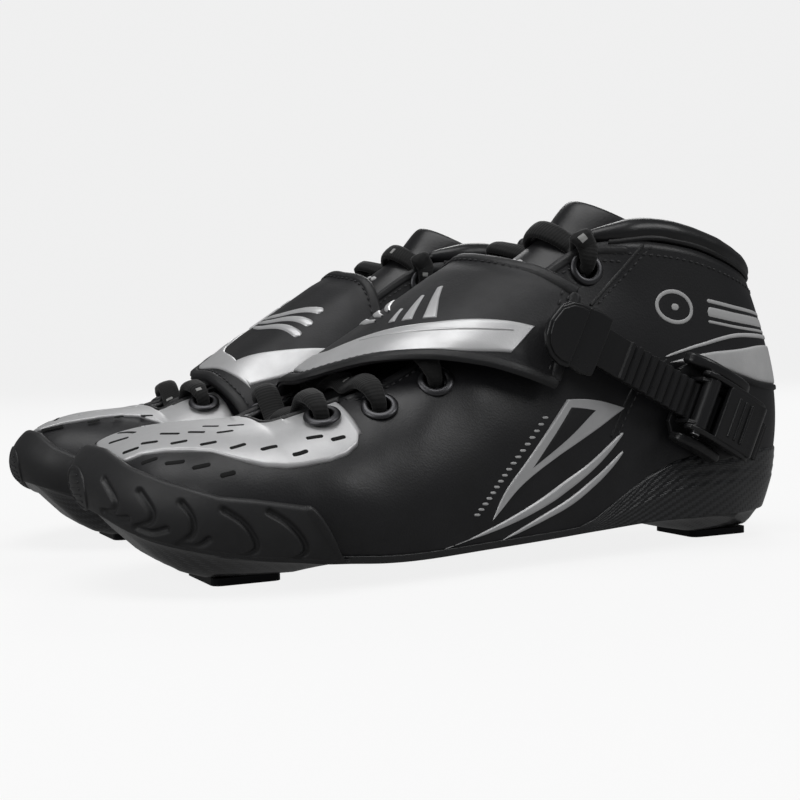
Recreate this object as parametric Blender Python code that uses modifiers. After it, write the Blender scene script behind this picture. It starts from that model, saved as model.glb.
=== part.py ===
"""A pair of low-cut speed skate boots, without frames, wheels or blades.

Metres, +Z up, toes to -Y, heels to +Y. The left boot stands at +X and the right boot is its
mirror image at -X. The origin is on the ground, midway between the boots.
Boot dimensions below are millimetres in the left boot's own frame: +X is its outer side.
"""
import math

import bmesh
import bpy
from mathutils import Matrix, Vector

MM = 0.001

# Driving dimensions, in millimetres
BOOT_SPACING = 127.0          # centre line to centre line of the pair
MOUNT_SPACING = 195.0         # two-point frame mount, hole to hole
FRONT_MOUNT_Y = -87.0
SHELL_WALL = 2.0
UPPER_WALL = 2.0
GAP = 0.4                     # clearance between pieces that touch
LIFT = 1.3                    # overlays off the leather
RIM_GAP = 1.0                 # leather above the shell's rim
PLATE_HEIGHT = 2.6
MOUNT_HOLE = 6.0
EYELET_BORE = 4.2             # radius
LACE_RADIUS = 1.4
STRAP_THICKNESS = 1.6
LADDER_WIDTH = 14.0
LADDER_THICKNESS = 2.4
LADDER_PITCH = 27.0           # degrees down towards the heel
LADDER_YAW = 4.5              # degrees in towards the heel

# Each row is one upright line of the boot's skin: sole edge, top edge, and how far the line
# swells out and up from the sole edge, and out and down from the top edge.
OUTER_ROWS = [
    ((-14, -130, 25.5), (-15, -108, 50.5), (12, 10), (25, 0)),
    ((5, -129.5, 24), (-12, -104, 51.5), (10, 11), (27, 0)),
    ((21, -122.5, 18.5), (-9.5, -100, 52), (10, 14), (33, 0)),
    ((32.5, -108.5, 14.5), (-7.5, -95, 52.3), (11, 17), (37, 0)),
    ((39.5, -92, 11.5), (-5, -89, 52.5), (12, 19), (43, 0)),
    ((42.5, -79, 10), (-2, -81.5, 52.8), (11, 21), (44, 0)),
    ((43.5, -71, 9), (11, -79, 51.8), (11, 21), (31, 1)),
    ((44, -63, 8.5), (14, -69, 54.5), (11, 21), (28, 2)),
    ((44, -50, 7.5), (17.5, -53, 60), (9, 22), (24, 6)),
    ((43, -35, 7.3), (20, -36, 67), (8, 23), (21, 8)),
    ((40.5, -12, 8), (22, -12, 81.5), (6, 27), (17, 13)),
    ((38, 12, 8.8), (24, 12, 95.5), (4, 31), (13, 18)),
    ((36, 36, 10), (26.5, 34, 109.5), (2, 34), (9, 24)),
    ((34.5, 58, 11.2), (30.5, 54, 112.5), (1, 38), (2, 34)),
    ((33, 82, 11.2), (31, 80, 110), (2, 38), (1, 34)),
    ((28.5, 104, 11), (27, 102, 104), (5, 34), (4, 32)),
    ((18, 122.5, 11.5), (16, 119.5, 98), (12, 33), (9, 28)),
    ((0, 131, 12.5), (0, 125, 95), (15, 34), (11.5, 28)),
]
INNER_ROWS = [
    OUTER_ROWS[0],
    ((-27, -125.5, 23.5), OUTER_ROWS[1][1], (10, 11), (25, 0)),
    ((-35, -114, 19.5), OUTER_ROWS[2][1], (9, 13), (28, 0)),
    ((-39, -101.5, 16), OUTER_ROWS[3][1], (9, 16), (32, 0)),
    ((-42, -89, 13.5), OUTER_ROWS[4][1], (9, 18), (37, 0)),
    ((-43, -78, 12), OUTER_ROWS[5][1], (9, 20), (41, 0)),
    ((-43, -72, 11), (-14, -79.2, 51.8), (9, 20), (29, 1)),
    ((-42.5, -64, 10), (-16, -70, 55.5), (9, 20), (27, 2)),
    ((-41, -51, 9.5), (-18, -54, 60.5), (8, 22), (23, 6)),
    ((-38, -35, 9.5), (-20.5, -36, 68), (6, 24), (18, 8)),
    ((-32.5, -12, 10), (-22, -12, 82.5), (5, 28), (12, 13)),
    ((-29, 12, 11), (-24, 12, 96.5), (5, 32), (8, 18)),
    ((-28, 36, 11.5), (-26.5, 34, 110), (4, 36), (5, 24)),
    ((-28, 58, 12), (-30, 54, 112.5), (4, 38), (1, 34)),
    ((-28, 82, 12), (-30.5, 80, 110), (5, 38), (1, 34)),
    ((-25, 104, 12), (-26.5, 102, 104), (6, 34), (4, 32)),
    ((-15.5, 121.5, 12), (-15.5, 119.5, 98), (11, 33), (9, 28)),
    OUTER_ROWS[-1],
]
LAST = len(OUTER_ROWS) - 1
ROUND = 2 * LAST              # lines once round the boot: outer side out, inner side back
STEP = LAST / 20              # spacing of the modelled lines

# Height of the sole's underside along the middle, and of the carbon shell's rim: (y, z)
KEEL = [(-131, 25.5), (-124, 18), (-115, 9.5), (-108, 5), (-101, 3), (-74, 3), (-67, 4.2),
        (-55, 5.8), (-38, 6.4), (20, 7), (50, 8.5), (66, 8.5), (79, 5.5), (92, 3), (122, 3),
        (127, 5.5), (132, 12.5)]
RIM = [(-140, 0), (20, 10), (34, 14.5), (48, 22.5), (60, 28.5), (72, 33), (84, 34.5),
       (140, 34.5)]
# Height of the rubber toe guard's top edge
GUARD_TOP = [(-140, 47.5), (-130, 46.5), (-123, 41.5), (-109, 35.5), (-92, 30.5),
             (-79, 27.5), (-72, 24.5), (-66, 18.5), (-62, 15)]
# Height of the silver vamp panel's lower edge, by line, on the outer and inner side
CAP_OUTER = [(0, 49.3), (1, 48.3), (2, 45), (3, 43.5), (4, 41), (5, 39.5), (6, 39.5),
             (7, 40.5), (8, 44.5), (8.5, 51.5)]
CAP_INNER = [(0, 49.3), (1, 49.8), (4.5, 50.2), (5.5, 44.5), (6.5, 40.5), (7.5, 42.5),
             (8.5, 51.5)]

# Instep strap, from the inner sole edge over the instep to its outer end
STRAP_FRONT = [(-46, -40, 22), (-46.5, -49, 38), (-39.5, -55, 53), (-22.5, -60, 62),
               (-3, -61, 63.4), (8, -53.3, 66.8), (22, -42.7, 70.3), (33, -27.6, 71.3),
               (38.5, -11.6, 69.5), (41, 2, 66), (41.5, 15.6, 61.3)]
STRAP_REAR = [(-38.5, -4, 24), (-39, 6, 50), (-37.5, 12, 80), (-28, 13, 102),
              (-11, 9, 107.2), (0, 8, 107.6), (13, 11, 105.6), (20.5, 15, 103.6),
              (27, 19, 101.6), (32.5, 23.5, 98.2), (37, 28.6, 94.1)]

# Tongue stations: middle of the top face (y, z), half width, edge drop (back, down), thickness
TONGUE = [
    (-96, 44.5, 14, 0, 3, 2.5),
    (-80, 47.8, 16, 0, 3.5, 3),
    (-62, 54.0, 18, 0, 5, 4),
    (-40, 67.8, 21, 0, 8, 5),
    (-15, 83.4, 22.5, 2, 11, 6),
    (8, 97.6, 21, 5, 11, 5),
    (24, 107.0, 20.5, 8, 12, 5),
    (38, 117.0, 18.8, 11, 11, 6),
    (50, 131.0, 18.2, 14, 9, 6),
]

LACE_ROWS = (7.3, 8.45, 9.45, 10.9, 12.15)      # lines on the skin that carry eyelets
EYELET_SET_BACK = (12.5, 12.5, 13.0, 12.0, 8.0)  # from the throat edge, along the line

# Ratchet buckle, in the ladder's frame
LEVER_PIN = (3.0, 0.0, 6.6)
CATCH_PIN = (22.0, 0.0, 5.8)
PIN_RADIUS = 1.1

MATERIALS = {
    "carbon": ((0.030, 0.030, 0.032), 0.32, 0.0),
    "leather": ((0.012, 0.012, 0.013), 0.45, 0.0),
    "silver": ((0.55, 0.55, 0.56), 0.38, 0.35),
    "rubber": ((0.018, 0.018, 0.018), 0.55, 0.0),
    "padding": ((0.015, 0.015, 0.016), 0.40, 0.0),
    "foam": ((0.06, 0.06, 0.062), 0.85, 0.0),
    "lace": ((0.010, 0.010, 0.010), 0.80, 0.0),
    "moulded": ((0.020, 0.020, 0.021), 0.35, 0.0),
    "steel": ((0.40, 0.40, 0.41), 0.30, 1.0),
    "alloy": ((0.025, 0.025, 0.027), 0.40, 1.0),
    "gunmetal": ((0.10, 0.10, 0.105), 0.35, 1.0),
}


# ---------------------------------------------------------------- helpers
def clear_scene():
    for item in list(bpy.data.objects):
        bpy.data.objects.remove(item, do_unlink=True)


def new_collection(name):
    group = bpy.data.collections.new(name)
    bpy.context.scene.collection.children.link(group)
    return group


def material(name, kind):
    colour, roughness, metallic = MATERIALS[kind]
    made = bpy.data.materials.new(name)
    made.use_nodes = True
    shader = made.node_tree.nodes["Principled BSDF"]
    shader.inputs["Base Color"].default_value = (*colour, 1.0)
    shader.inputs["Roughness"].default_value = roughness
    shader.inputs["Metallic"].default_value = metallic
    return made


def new_object(name, mesh, kind, group):
    item = bpy.data.objects.new(name, mesh)
    item["kind"] = kind
    mesh.materials.clear()
    mesh.materials.append(material(name, kind))
    group.objects.link(item)
    return item


def profile(points, at):
    """Value at a place on a hand-made (place, value) profile, eased between its points."""
    if at <= points[0][0]:
        return points[0][1]
    for (a, low), (b, high) in zip(points, points[1:]):
        if at <= b:
            share = (at - a) / (b - a)
            return low + (high - low) * share
    return points[-1][1]


def smooth_step(share):
    share = min(1.0, max(0.0, share))
    return share * share * (3 - 2 * share)


def spline(before, start, end, after, share):
    """Catmull-Rom point between start and end."""
    a = (end - before) * 0.5
    b = (after - start) * 0.5
    t = share
    return (start * (2 * t ** 3 - 3 * t ** 2 + 1) + a * (t ** 3 - 2 * t ** 2 + t)
            + end * (-2 * t ** 3 + 3 * t ** 2) + b * (t ** 3 - t ** 2))


def through(points, share):
    """Point on a smooth open curve through the points; share runs from 0 to 1."""
    spans = len(points) - 1
    place = min(max(share * spans, 0.0), spans - 1e-9)
    index = int(place)
    vectors = [Vector(p) for p in points]
    before = vectors[max(index - 1, 0)]
    after = vectors[min(index + 2, spans)]
    return spline(before, vectors[index], vectors[index + 1], after, place - index)


# ---------------------------------------------------------------- the boot's skin
def skin_lines():
    """Bezier control points of every line, once round the boot from the toe tip."""
    rows = OUTER_ROWS + INNER_ROWS[-2:0:-1]
    lines = []
    for index, (sole, top, low, high) in enumerate(rows):
        ahead = Vector(rows[(index + 1) % ROUND][0])
        behind = Vector(rows[(index - 1) % ROUND][0])
        along = (ahead - behind).to_2d().normalized()
        out = Vector((-along.y, along.x, 0)) * -1
        foot = Vector(sole)
        head = Vector(top)
        lines.append((foot, foot + out * low[0] + Vector((0, 0, low[1])),
                      head + out * high[0] - Vector((0, 0, high[1])), head))
    return lines


LINES = skin_lines()


def control(place):
    """The four control points at a place round the boot."""
    index = int(math.floor(place)) % ROUND
    share = place - math.floor(place)
    four = [LINES[(index + step) % ROUND] for step in (-1, 0, 1, 2)]
    return [spline(*(line[k] for line in four), share) for k in range(4)]


def skin(place, height):
    """Point on the skin: place runs round the boot, height from 0 sole edge to 1 top edge."""
    a, b, c, d = control(place)
    t = height
    return (a * (1 - t) ** 3 + b * 3 * t * (1 - t) ** 2 + c * 3 * t * t * (1 - t)
            + d * t ** 3)


def skin_normal(place, height):
    low = max(height - 0.02, 0.0)
    high = min(height + 0.02, 1.0)
    side = skin(place + 0.05, min(height, 0.97)) - skin(place - 0.05, min(height, 0.97))
    rise = skin(place, high) - skin(place, low)
    return side.cross(rise).normalized()


def off_skin(place, height, distance):
    return skin(place, height) + skin_normal(place, height) * distance


def height_at(place, level):
    """Height parameter where the line at this place reaches a level in millimetres."""
    low, high = 0.0, 1.0
    for _ in range(24):
        middle = (low + high) / 2
        if skin(place, middle).z < level:
            low = middle
        else:
            high = middle
    return (low + high) / 2


def set_back(place, distance):
    """Height parameter at a distance down the line from its top edge."""
    height = 1.0
    walked = 0.0
    last = skin(place, 1.0)
    while walked < distance:
        height -= 0.005
        here = skin(place, height)
        walked += (here - last).length
        last = here
    return height


def rim_height(place):
    """Where the shell ends on this line: a thin strip, rising into the heel cup."""
    foot = skin(place, 0.0)
    return height_at(place, max(foot.z + 2.6, profile(RIM, foot.y)))


# ---------------------------------------------------------------- mesh building
def grid(bm, rows, wrap=False):
    """Quads over rows of points; wrap joins the last point of each row to its first."""
    made = [[bm.verts.new(Vector(p) * MM) for p in row] for row in rows]
    count = len(made[0])
    for upper, lower in zip(made, made[1:]):
        for k in range(count if wrap else count - 1):
            n = (k + 1) % count
            bm.faces.new((upper[k], upper[n], lower[n], lower[k]))
    return made


def face_out(bm, centre):
    """Turns the faces so that they point away from a point inside."""
    bm.normal_update()
    centre = Vector(centre) * MM
    total = 0.0
    for face in bm.faces:
        total += (face.calc_center_median() - centre).dot(face.normal) * face.calc_area()
    if total < 0:
        bmesh.ops.reverse_faces(bm, faces=bm.faces)


def finish(bm, name, kind, group, weld=0.00005):
    bmesh.ops.remove_doubles(bm, verts=bm.verts, dist=weld)
    bmesh.ops.dissolve_degenerate(bm, edges=bm.edges, dist=1e-6)
    bm.normal_update()
    mesh = bpy.data.meshes.new(name)
    bm.to_mesh(mesh)
    bm.free()
    return new_object(name, mesh, kind, group)


def thicken(item, millimetres, outward=False):
    wall = item.modifiers.new("wall", "SOLIDIFY")
    wall.thickness = millimetres * MM
    wall.offset = 1.0 if outward else -1.0
    wall.use_even_offset = False
    return item


def solid_loft(bm, sections):
    """A closed solid over closed sections that all have the same number of points."""
    made = grid(bm, sections, wrap=True)
    bm.faces.new(made[0])
    bm.faces.new(list(reversed(made[-1])))
    bmesh.ops.recalc_face_normals(bm, faces=bm.faces)


def cut(item, cutter):
    boolean = item.modifiers.new("cut", "BOOLEAN")
    boolean.operation = "DIFFERENCE"
    boolean.object = cutter
    return item


def box(name, size, centre, frame, kind, group):
    """A block by size and centre in millimetres, placed by a 4x4 frame."""
    bm = bmesh.new()
    bmesh.ops.create_cube(bm, size=MM)
    bmesh.ops.scale(bm, vec=size, verts=bm.verts)
    bmesh.ops.translate(bm, vec=Vector(centre) * MM, verts=bm.verts)
    item = finish(bm, name, kind, group)
    item.matrix_world = frame
    return item


def rod(bm, radius, start, end, sides):
    """A closed cylinder between two points in millimetres, added to a bmesh."""
    start = Vector(start) * MM
    end = Vector(end) * MM
    turn = (end - start).to_track_quat("Z", "Y").to_matrix().to_4x4()
    place = Matrix.Translation((start + end) / 2) @ turn
    bmesh.ops.create_cone(bm, cap_ends=True, segments=sides, radius1=radius * MM,
                          radius2=radius * MM, depth=(end - start).length, matrix=place)


# ---------------------------------------------------------------- boot pieces
def places(start, end, step):
    count = round((end - start) / step)
    return [start + (end - start) * k / count for k in range(count + 1)]


def make_shell(group):
    """Carbon sole and heel cup in one, with the two raised mount blocks underneath."""
    bm = bmesh.new()
    around = places(0, ROUND, STEP)[:-1]
    band = []
    for level in range(3):
        band.append([skin(p, rim_height(p) * (1 - level / 2)) for p in around])
    grid(bm, band, wrap=True)
    across = 6
    rows = []
    for place in places(0, LAST, STEP):
        outer = skin(place, 0.0)
        inner = skin(ROUND - place, 0.0)
        row = []
        for k in range(across + 1):
            share = k / across
            point = outer.lerp(inner, share)
            edge = min(share, 1 - share) * 2
            bottom = min(profile(KEEL, point.y), point.z)
            point.z = bottom + (point.z - bottom) * (1 - smooth_step(edge / 0.62))
            row.append(point)
        rows.append(row)
    grid(bm, rows)
    bmesh.ops.remove_doubles(bm, verts=bm.verts, dist=0.00005)
    bmesh.ops.dissolve_degenerate(bm, edges=bm.edges, dist=1e-6)
    bmesh.ops.recalc_face_normals(bm, faces=bm.faces)
    face_out(bm, (0, 0, 30))
    return thicken(finish(bm, "left_shell", "carbon", group), SHELL_WALL)


def make_upper(group, cutters):
    """Leather upper: closed over the toes, open at the throat and the collar."""
    bm = bmesh.new()
    around = places(0, ROUND, STEP)[:-1]
    rows = []
    levels = 5
    for level in range(levels + 1):
        row = []
        for place in around:
            low = rim_height(place)
            line_length = (skin(place, 1.0) - skin(place, low)).length
            low += RIM_GAP / line_length
            row.append(skin(place, low + (1 - low) * level / levels))
        rows.append(row)
    grid(bm, rows, wrap=True)
    bmesh.ops.remove_doubles(bm, verts=bm.verts, dist=0.00005)
    face_out(bm, (0, 0, 40))
    upper = thicken(finish(bm, "left_upper", "leather", group), UPPER_WALL)
    return cut(upper, eyelet_cutter(cutters))


def eyelet_places():
    """Name, place round the boot, height parameter and lift off the skin of every eyelet."""
    found = []
    for index, (place, back) in enumerate(zip(LACE_ROWS, EYELET_SET_BACK)):
        lift = LIFT + 1.4 if index == 0 else GAP + 0.3
        found.append((f"eyelet_outer_{index + 1}", place, set_back(place, back), lift))
        inner = ROUND - place
        found.append((f"eyelet_inner_{index + 1}", inner, set_back(inner, back), lift))
    return found


def eyelet_cutter(cutters):
    bm = bmesh.new()
    for _, place, height, _ in eyelet_places():
        middle = skin(place, height)
        out = skin_normal(place, height)
        rod(bm, EYELET_BORE + 1.0, middle - out * 6, middle + out * 6, 10)
    mesh = bpy.data.meshes.new("eyelet_holes")
    bm.to_mesh(mesh)
    bm.free()
    cutter = bpy.data.objects.new("eyelet_holes", mesh)
    cutters.objects.link(cutter)
    cutter.hide_render = True
    cutter.display_type = "WIRE"
    return cutter


def make_eyelets(group):
    """Turned metal rings: a barrel through the leather and a rolled flange outside."""
    for name, place, height, lift in eyelet_places():
        bm = bmesh.new()
        bore = EYELET_BORE
        outline = [(bore, -2.6), (bore + 0.6, -2.6), (bore + 0.6, lift), (bore + 2.0, lift),
                   (bore + 1.6, lift + 0.9), (bore, lift + 0.9)]
        points = [bm.verts.new((r * MM, 0, z * MM)) for r, z in outline]
        edges = [bm.edges.new((a, b)) for a, b in zip(points, points[1:] + points[:1])]
        bmesh.ops.spin(bm, geom=points + edges, cent=(0, 0, 0), axis=(0, 0, 1),
                       angle=2 * math.pi, steps=8, use_merge=True)
        bmesh.ops.recalc_face_normals(bm, faces=bm.faces)
        ring = finish(bm, f"left_{name}", "gunmetal", group)
        out = skin_normal(place, height)
        ring.matrix_world = (Matrix.Translation(skin(place, height) * MM)
                             @ out.to_track_quat("Z", "Y").to_matrix().to_4x4())


def overlay(name, kind, group, start, end, low, high, thickness, lift, levels):
    """A patch laid over the skin: low and high give its height parameters at each place."""
    bm = bmesh.new()
    rows = []
    for place in places(start * STEP, end * STEP, STEP):
        bottom, top = low(place), high(place)
        rows.append([off_skin(place, bottom + (top - bottom) * k / levels, lift)
                     for k in range(levels + 1)])
    grid(bm, rows)
    face_out(bm, (0, -70, 25))
    return thicken(finish(bm, name, kind, group), thickness, outward=True)


def guard_low(place):
    return rim_height(place) + 0.03


def guard_high(place):
    return height_at(place, profile(GUARD_TOP, skin(place, 0.3).y))


def make_toe_guard(group):
    return overlay("left_toe_bumper", "rubber", group, -8, 8, guard_low, guard_high,
                   1.4, LIFT, 4)


def make_toe_cap(group, cutters):
    """Silver vamp panel over the toes, with a wing on each side round the first eyelet."""
    def low(place):
        return height_at(place, profile(CAP_OUTER if place >= 0 else CAP_INNER, abs(place)))

    def high(place):
        return 1.0 if abs(place) <= 5 else 0.985

    bm = bmesh.new()
    rows = []
    for place in [-8.0] + places(-9 * STEP, 9 * STEP, STEP) + [8.0]:
        bottom, top = low(place), high(place)
        row = [off_skin(place, bottom + (top - bottom) * k / 5, LIFT) for k in range(6)]
        if 4.5 < abs(place) < 7:
            row[4] = skin(place, bottom + (top - bottom) * 0.8) + Vector((0, 0, LIFT + 0.3))
            row[5] = skin(place, top) + Vector((0, 0, LIFT + 0.3))
        if abs(place) <= 5:
            row[5] = skin(place, 1.0) + Vector((0, 0, LIFT))
        rows.append(row)
    grid(bm, rows)
    bmesh.ops.remove_doubles(bm, verts=bm.verts, dist=0.00005)
    bmesh.ops.recalc_face_normals(bm, faces=bm.faces)
    face_out(bm, (0, -80, 20))
    cap = thicken(finish(bm, "left_toe_cap", "silver", group), 0.9, outward=True)
    return cut(cap, cutters.objects["eyelet_holes"])


def make_lining(group):
    """Padded collar roll and ankle sleeve, one sewn piece."""
    bm = bmesh.new()
    radius = 4.3
    face = UPPER_WALL + 2.0
    sections = []
    for place in places(12.75, ROUND - 12.75, STEP):
        top = skin(place, 1.0)
        out = skin_normal(place, 0.93)
        out.z = 0
        out.normalize()
        ends = min(place - 12.75, ROUND - 12.75 - place)
        depth = 1.2 + 2.2 * smooth_step(ends / 1.7)
        low = height_at(place, 39)
        levels = (low, 0.62, 0.74, 0.86)
        outer = [off_skin(place, h, -face) for h in levels]
        outer.append(top - out * face + Vector((0, 0, -0.5)))
        middle = top - out * 1.6 + Vector((0, 0, radius + 0.6))
        arc = []
        for k in range(7):
            turn = math.radians(-62 + 242 * k / 6)
            arc.append(middle + out * math.cos(turn) * radius
                       + Vector((0, 0, math.sin(turn) * radius)))
        inner = [top - out * (face + depth) + Vector((0, 0, -4))]
        inner += [off_skin(place, h, -face - depth) for h in reversed(levels)]
        sections.append(outer + arc + inner)
    solid_loft(bm, sections)
    return finish(bm, "left_collar_lining", "padding", group)


def make_tongue(group):
    """Padded tongue: flat under the vamp, domed up the instep, curled round the shin."""
    bm = bmesh.new()
    sections = []
    shares = (-1, -0.7, -0.35, 0, 0.35, 0.7, 1)
    for y, z, half, back, down, thick in TONGUE:
        top = [Vector((s * half, y + back * s * s, z - down * s * s)) for s in shares]
        steep = smooth_step((y + 90) / 120)
        under = Vector((0, 0.75 * steep, -1)).normalized()
        bottom = [p + under * (thick * (1 - 0.45 * abs(s) ** 3))
                  for p, s in zip(reversed(top), reversed(shares))]
        sections.append(top + bottom)
    solid_loft(bm, sections)
    return finish(bm, "left_tongue", "padding", group)


def make_footbed(group):
    bm = bmesh.new()
    bottom = []
    for place in places(1.7, LAST - 1.7, STEP):
        outer = skin(place, 0.0)
        inner = skin(ROUND - place, 0.0)
        width = (outer - inner).length
        row = []
        for k in range(6):
            share = 8.0 / width + (1 - 16.0 / width) * k / 5
            point = outer.lerp(inner, share)
            point.z = max(outer.z, inner.z) + 6.2
            row.append(point)
        bottom.append(row)
    grid(bm, bottom)
    face_out(bm, (0, 0, -200))
    return thicken(finish(bm, "left_footbed", "foam", group), 3.0)


def make_mount_plate(name, y, size, group, cutters):
    """Threaded alloy plate under a mount block, with its frame bolt hole."""
    hole = bmesh.new()
    rod(hole, MOUNT_HOLE / 2, (0, y, -2), (0, y, PLATE_HEIGHT + 2), 16)
    mesh = bpy.data.meshes.new(f"{name}_hole")
    hole.to_mesh(mesh)
    hole.free()
    cutter = bpy.data.objects.new(f"{name}_hole", mesh)
    cutters.objects.link(cutter)
    cutter.hide_render = True
    cutter.display_type = "WIRE"
    plate = box(name, size, (0, y, size[2] / 2), Matrix.Identity(4), "alloy", group)
    bm = bmesh.new()
    bm.from_mesh(plate.data)
    upright = [e for e in bm.edges if abs((e.verts[0].co - e.verts[1].co).z) > 0.5 * MM]
    bmesh.ops.bevel(bm, geom=upright, offset=3 * MM, segments=3, affect="EDGES",
                    profile=0.5, material=-1)
    bm.to_mesh(plate.data)
    bm.free()
    return cut(plate, cutter)


def lace_route():
    """Bar lacing from the first outer eyelet to the last inner one; both ends tucked in."""
    rows = {}
    for name, place, height, lift in eyelet_places():
        middle = skin(place, height)
        out = skin_normal(place, height)
        rim = skin(place, 1.0)
        rows[name] = (middle, out, rim, lift)

    def dive(name, inward):
        middle, out, rim, lift = rows[name]
        lean = rim - middle
        lean = (lean - out * lean.dot(out)).normalized()
        over = rim + (out + instep_up(rim.y)).normalized() * (lift + LACE_RADIUS + 0.4)
        steps = [over, middle + out * (lift + 2.4) + lean * 6.3,
                 middle + out * (lift + 2.5) + lean * 2.3, middle + out * (lift + 0.6),
                 middle - out * 2.8, middle - out * 4.8 - lean * 1.8]
        return steps if inward else list(reversed(steps))

    route = []
    first = rows["eyelet_outer_1"]
    route.append(first[0] - first[1] * 7.0 + Vector((3, -12, -2)))
    side = "outer"
    for index in range(1, 6):
        other = "inner" if side == "outer" else "outer"
        start, end = f"eyelet_{side}_{index}", f"eyelet_{other}_{index}"
        route += dive(start, False)
        a, b = rows[start][2], rows[end][2]
        middle = (a + b) / 2
        middle.x = 0
        middle.z = tongue_top(middle.y)
        middle += instep_up(middle.y) * (LACE_RADIUS + 0.6)
        route.append(middle)
        route += dive(end, True)
        side = other
    last = rows[f"eyelet_{side}_5"]
    route.append(last[0] - last[1] * 5.6 + Vector((0, -5, -10)))
    return route


def tongue_top(y):
    return profile([(s[0], s[1]) for s in TONGUE], y)


def instep_up(y):
    """Direction square to the tongue's slope."""
    return Vector((0, (tongue_top(y - 4) - tongue_top(y + 4)) / 8, 1)).normalized()


def make_lace(group):
    route = lace_route()
    curve = bpy.data.curves.new("left_lace", "CURVE")
    curve.dimensions = "3D"
    curve.bevel_depth = LACE_RADIUS * MM
    curve.bevel_resolution = 1
    curve.use_fill_caps = True
    line = curve.splines.new("POLY")
    line.points.add(len(route) - 1)
    for k, point in enumerate(route):
        line.points[k].co = (*(point * MM), 1.0)
    holder = bpy.data.objects.new("lace_curve", curve)
    group.objects.link(holder)
    mesh = bpy.data.meshes.new_from_object(
        holder.evaluated_get(bpy.context.evaluated_depsgraph_get()))
    bpy.data.objects.remove(holder, do_unlink=True)
    bm = bmesh.new()
    bm.from_mesh(mesh)
    bmesh.ops.remove_doubles(bm, verts=bm.verts, dist=0.00005)
    bmesh.ops.recalc_face_normals(bm, faces=bm.faces)
    return finish(bm, "left_lace", "lace", group)


def make_strap(group):
    """Instep strap: a band ruled between its front and rear edges."""
    bm = bmesh.new()
    rows = []
    for k in range(21):
        front = through(STRAP_FRONT, k / 20)
        rear = through(STRAP_REAR, k / 20)
        rows.append([front.lerp(rear, s) for s in (0, 0.33, 0.67, 1)])
    grid(bm, rows)
    face_out(bm, (0, -20, 40))
    strap = finish(bm, "left_strap", "leather", group)
    wall = thicken(strap, STRAP_THICKNESS).modifiers["wall"]
    wall.offset = 2.0         # the ruled surface lies 0.8 mm under the strap
    return strap


# ---------------------------------------------------------------- ratchet line
def ladder_frame():
    """Frame on the ladder strap: x along it to the heel, y across it upwards, z outwards."""
    pitch = math.radians(LADDER_PITCH)
    along = Vector((0, math.cos(pitch), -math.sin(pitch)))
    across = Vector((0, math.sin(pitch), math.cos(pitch)))
    frame = Matrix((along, across, Vector((1, 0, 0)))).transposed().to_4x4()
    yaw = Matrix.Rotation(math.radians(LADDER_YAW), 4, "Z")
    return Matrix.Translation(Vector((38.4, 73.5, 54.6)) * MM) @ yaw @ frame


def ladder_outline():
    """Side outline of the ladder strap: a smooth back, and teeth on the outer face."""
    teeth = 19
    start, pitch, end = -34.5, 3.8, 38.5
    outline = [(-56.0, 0.0), (-56.0, LADDER_THICKNESS), (start, LADDER_THICKNESS)]
    for k in range(teeth):
        x = start + k * pitch
        outline += [(x + 0.8, LADDER_THICKNESS + 1.0), (x + 2.2, LADDER_THICKNESS + 1.0),
                    (x + 3.0, LADDER_THICKNESS - 0.4)]
    outline += [(end, LADDER_THICKNESS - 0.4), (end, 0.0)]
    return outline


def make_ladder(group, empty):
    bm = bmesh.new()
    outline = ladder_outline()
    half = LADDER_WIDTH / 2
    for side in (-half, half):
        ring = [bm.verts.new((x * MM, side * MM, z * MM)) for x, z in outline]
        bm.faces.new(ring)
    lower, upper = bm.verts[:len(outline)], bm.verts[len(outline):]
    for k in range(len(outline)):
        n = (k + 1) % len(outline)
        bm.faces.new((lower[k], lower[n], upper[n], upper[k]))
    bmesh.ops.recalc_face_normals(bm, faces=bm.faces)
    ladder = finish(bm, "left_ladder", "moulded", group)
    ladder.parent = empty
    return ladder


def prism(bm, outline, low, high, axis="y"):
    """Adds a closed prism: its outline is in x-z for axis y, or in x-y for axis z."""
    def corner(a, b, level):
        return (a * MM, level * MM, b * MM) if axis == "y" else (a * MM, b * MM, level * MM)
    near = [bm.verts.new(corner(a, b, low)) for a, b in outline]
    far = [bm.verts.new(corner(a, b, high)) for a, b in outline]
    bm.faces.new(near)
    bm.faces.new(list(reversed(far)))
    for k in range(len(outline)):
        n = (k + 1) % len(outline)
        bm.faces.new((near[n], near[k], far[k], far[n]))


def union(name, parts, kind, group, parent):
    """Joins prisms into one closed body; each part is (outline, low, high, axis)."""
    pieces = []
    for outline, low, high, axis in parts:
        bm = bmesh.new()
        prism(bm, outline, low, high, axis)
        bmesh.ops.recalc_face_normals(bm, faces=bm.faces)
        pieces.append(finish(bm, f"{name}_piece", kind, group))
    base = pieces[0]
    for piece in pieces[1:]:
        boolean = base.modifiers.new("join", "BOOLEAN")
        boolean.operation = "UNION"
        boolean.object = piece
    joined = bpy.data.meshes.new_from_object(
        base.evaluated_get(bpy.context.evaluated_depsgraph_get()))
    for piece in pieces:
        bpy.data.objects.remove(piece, do_unlink=True)
    item = new_object(name, joined, kind, group)
    item.parent = parent
    return item


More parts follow.
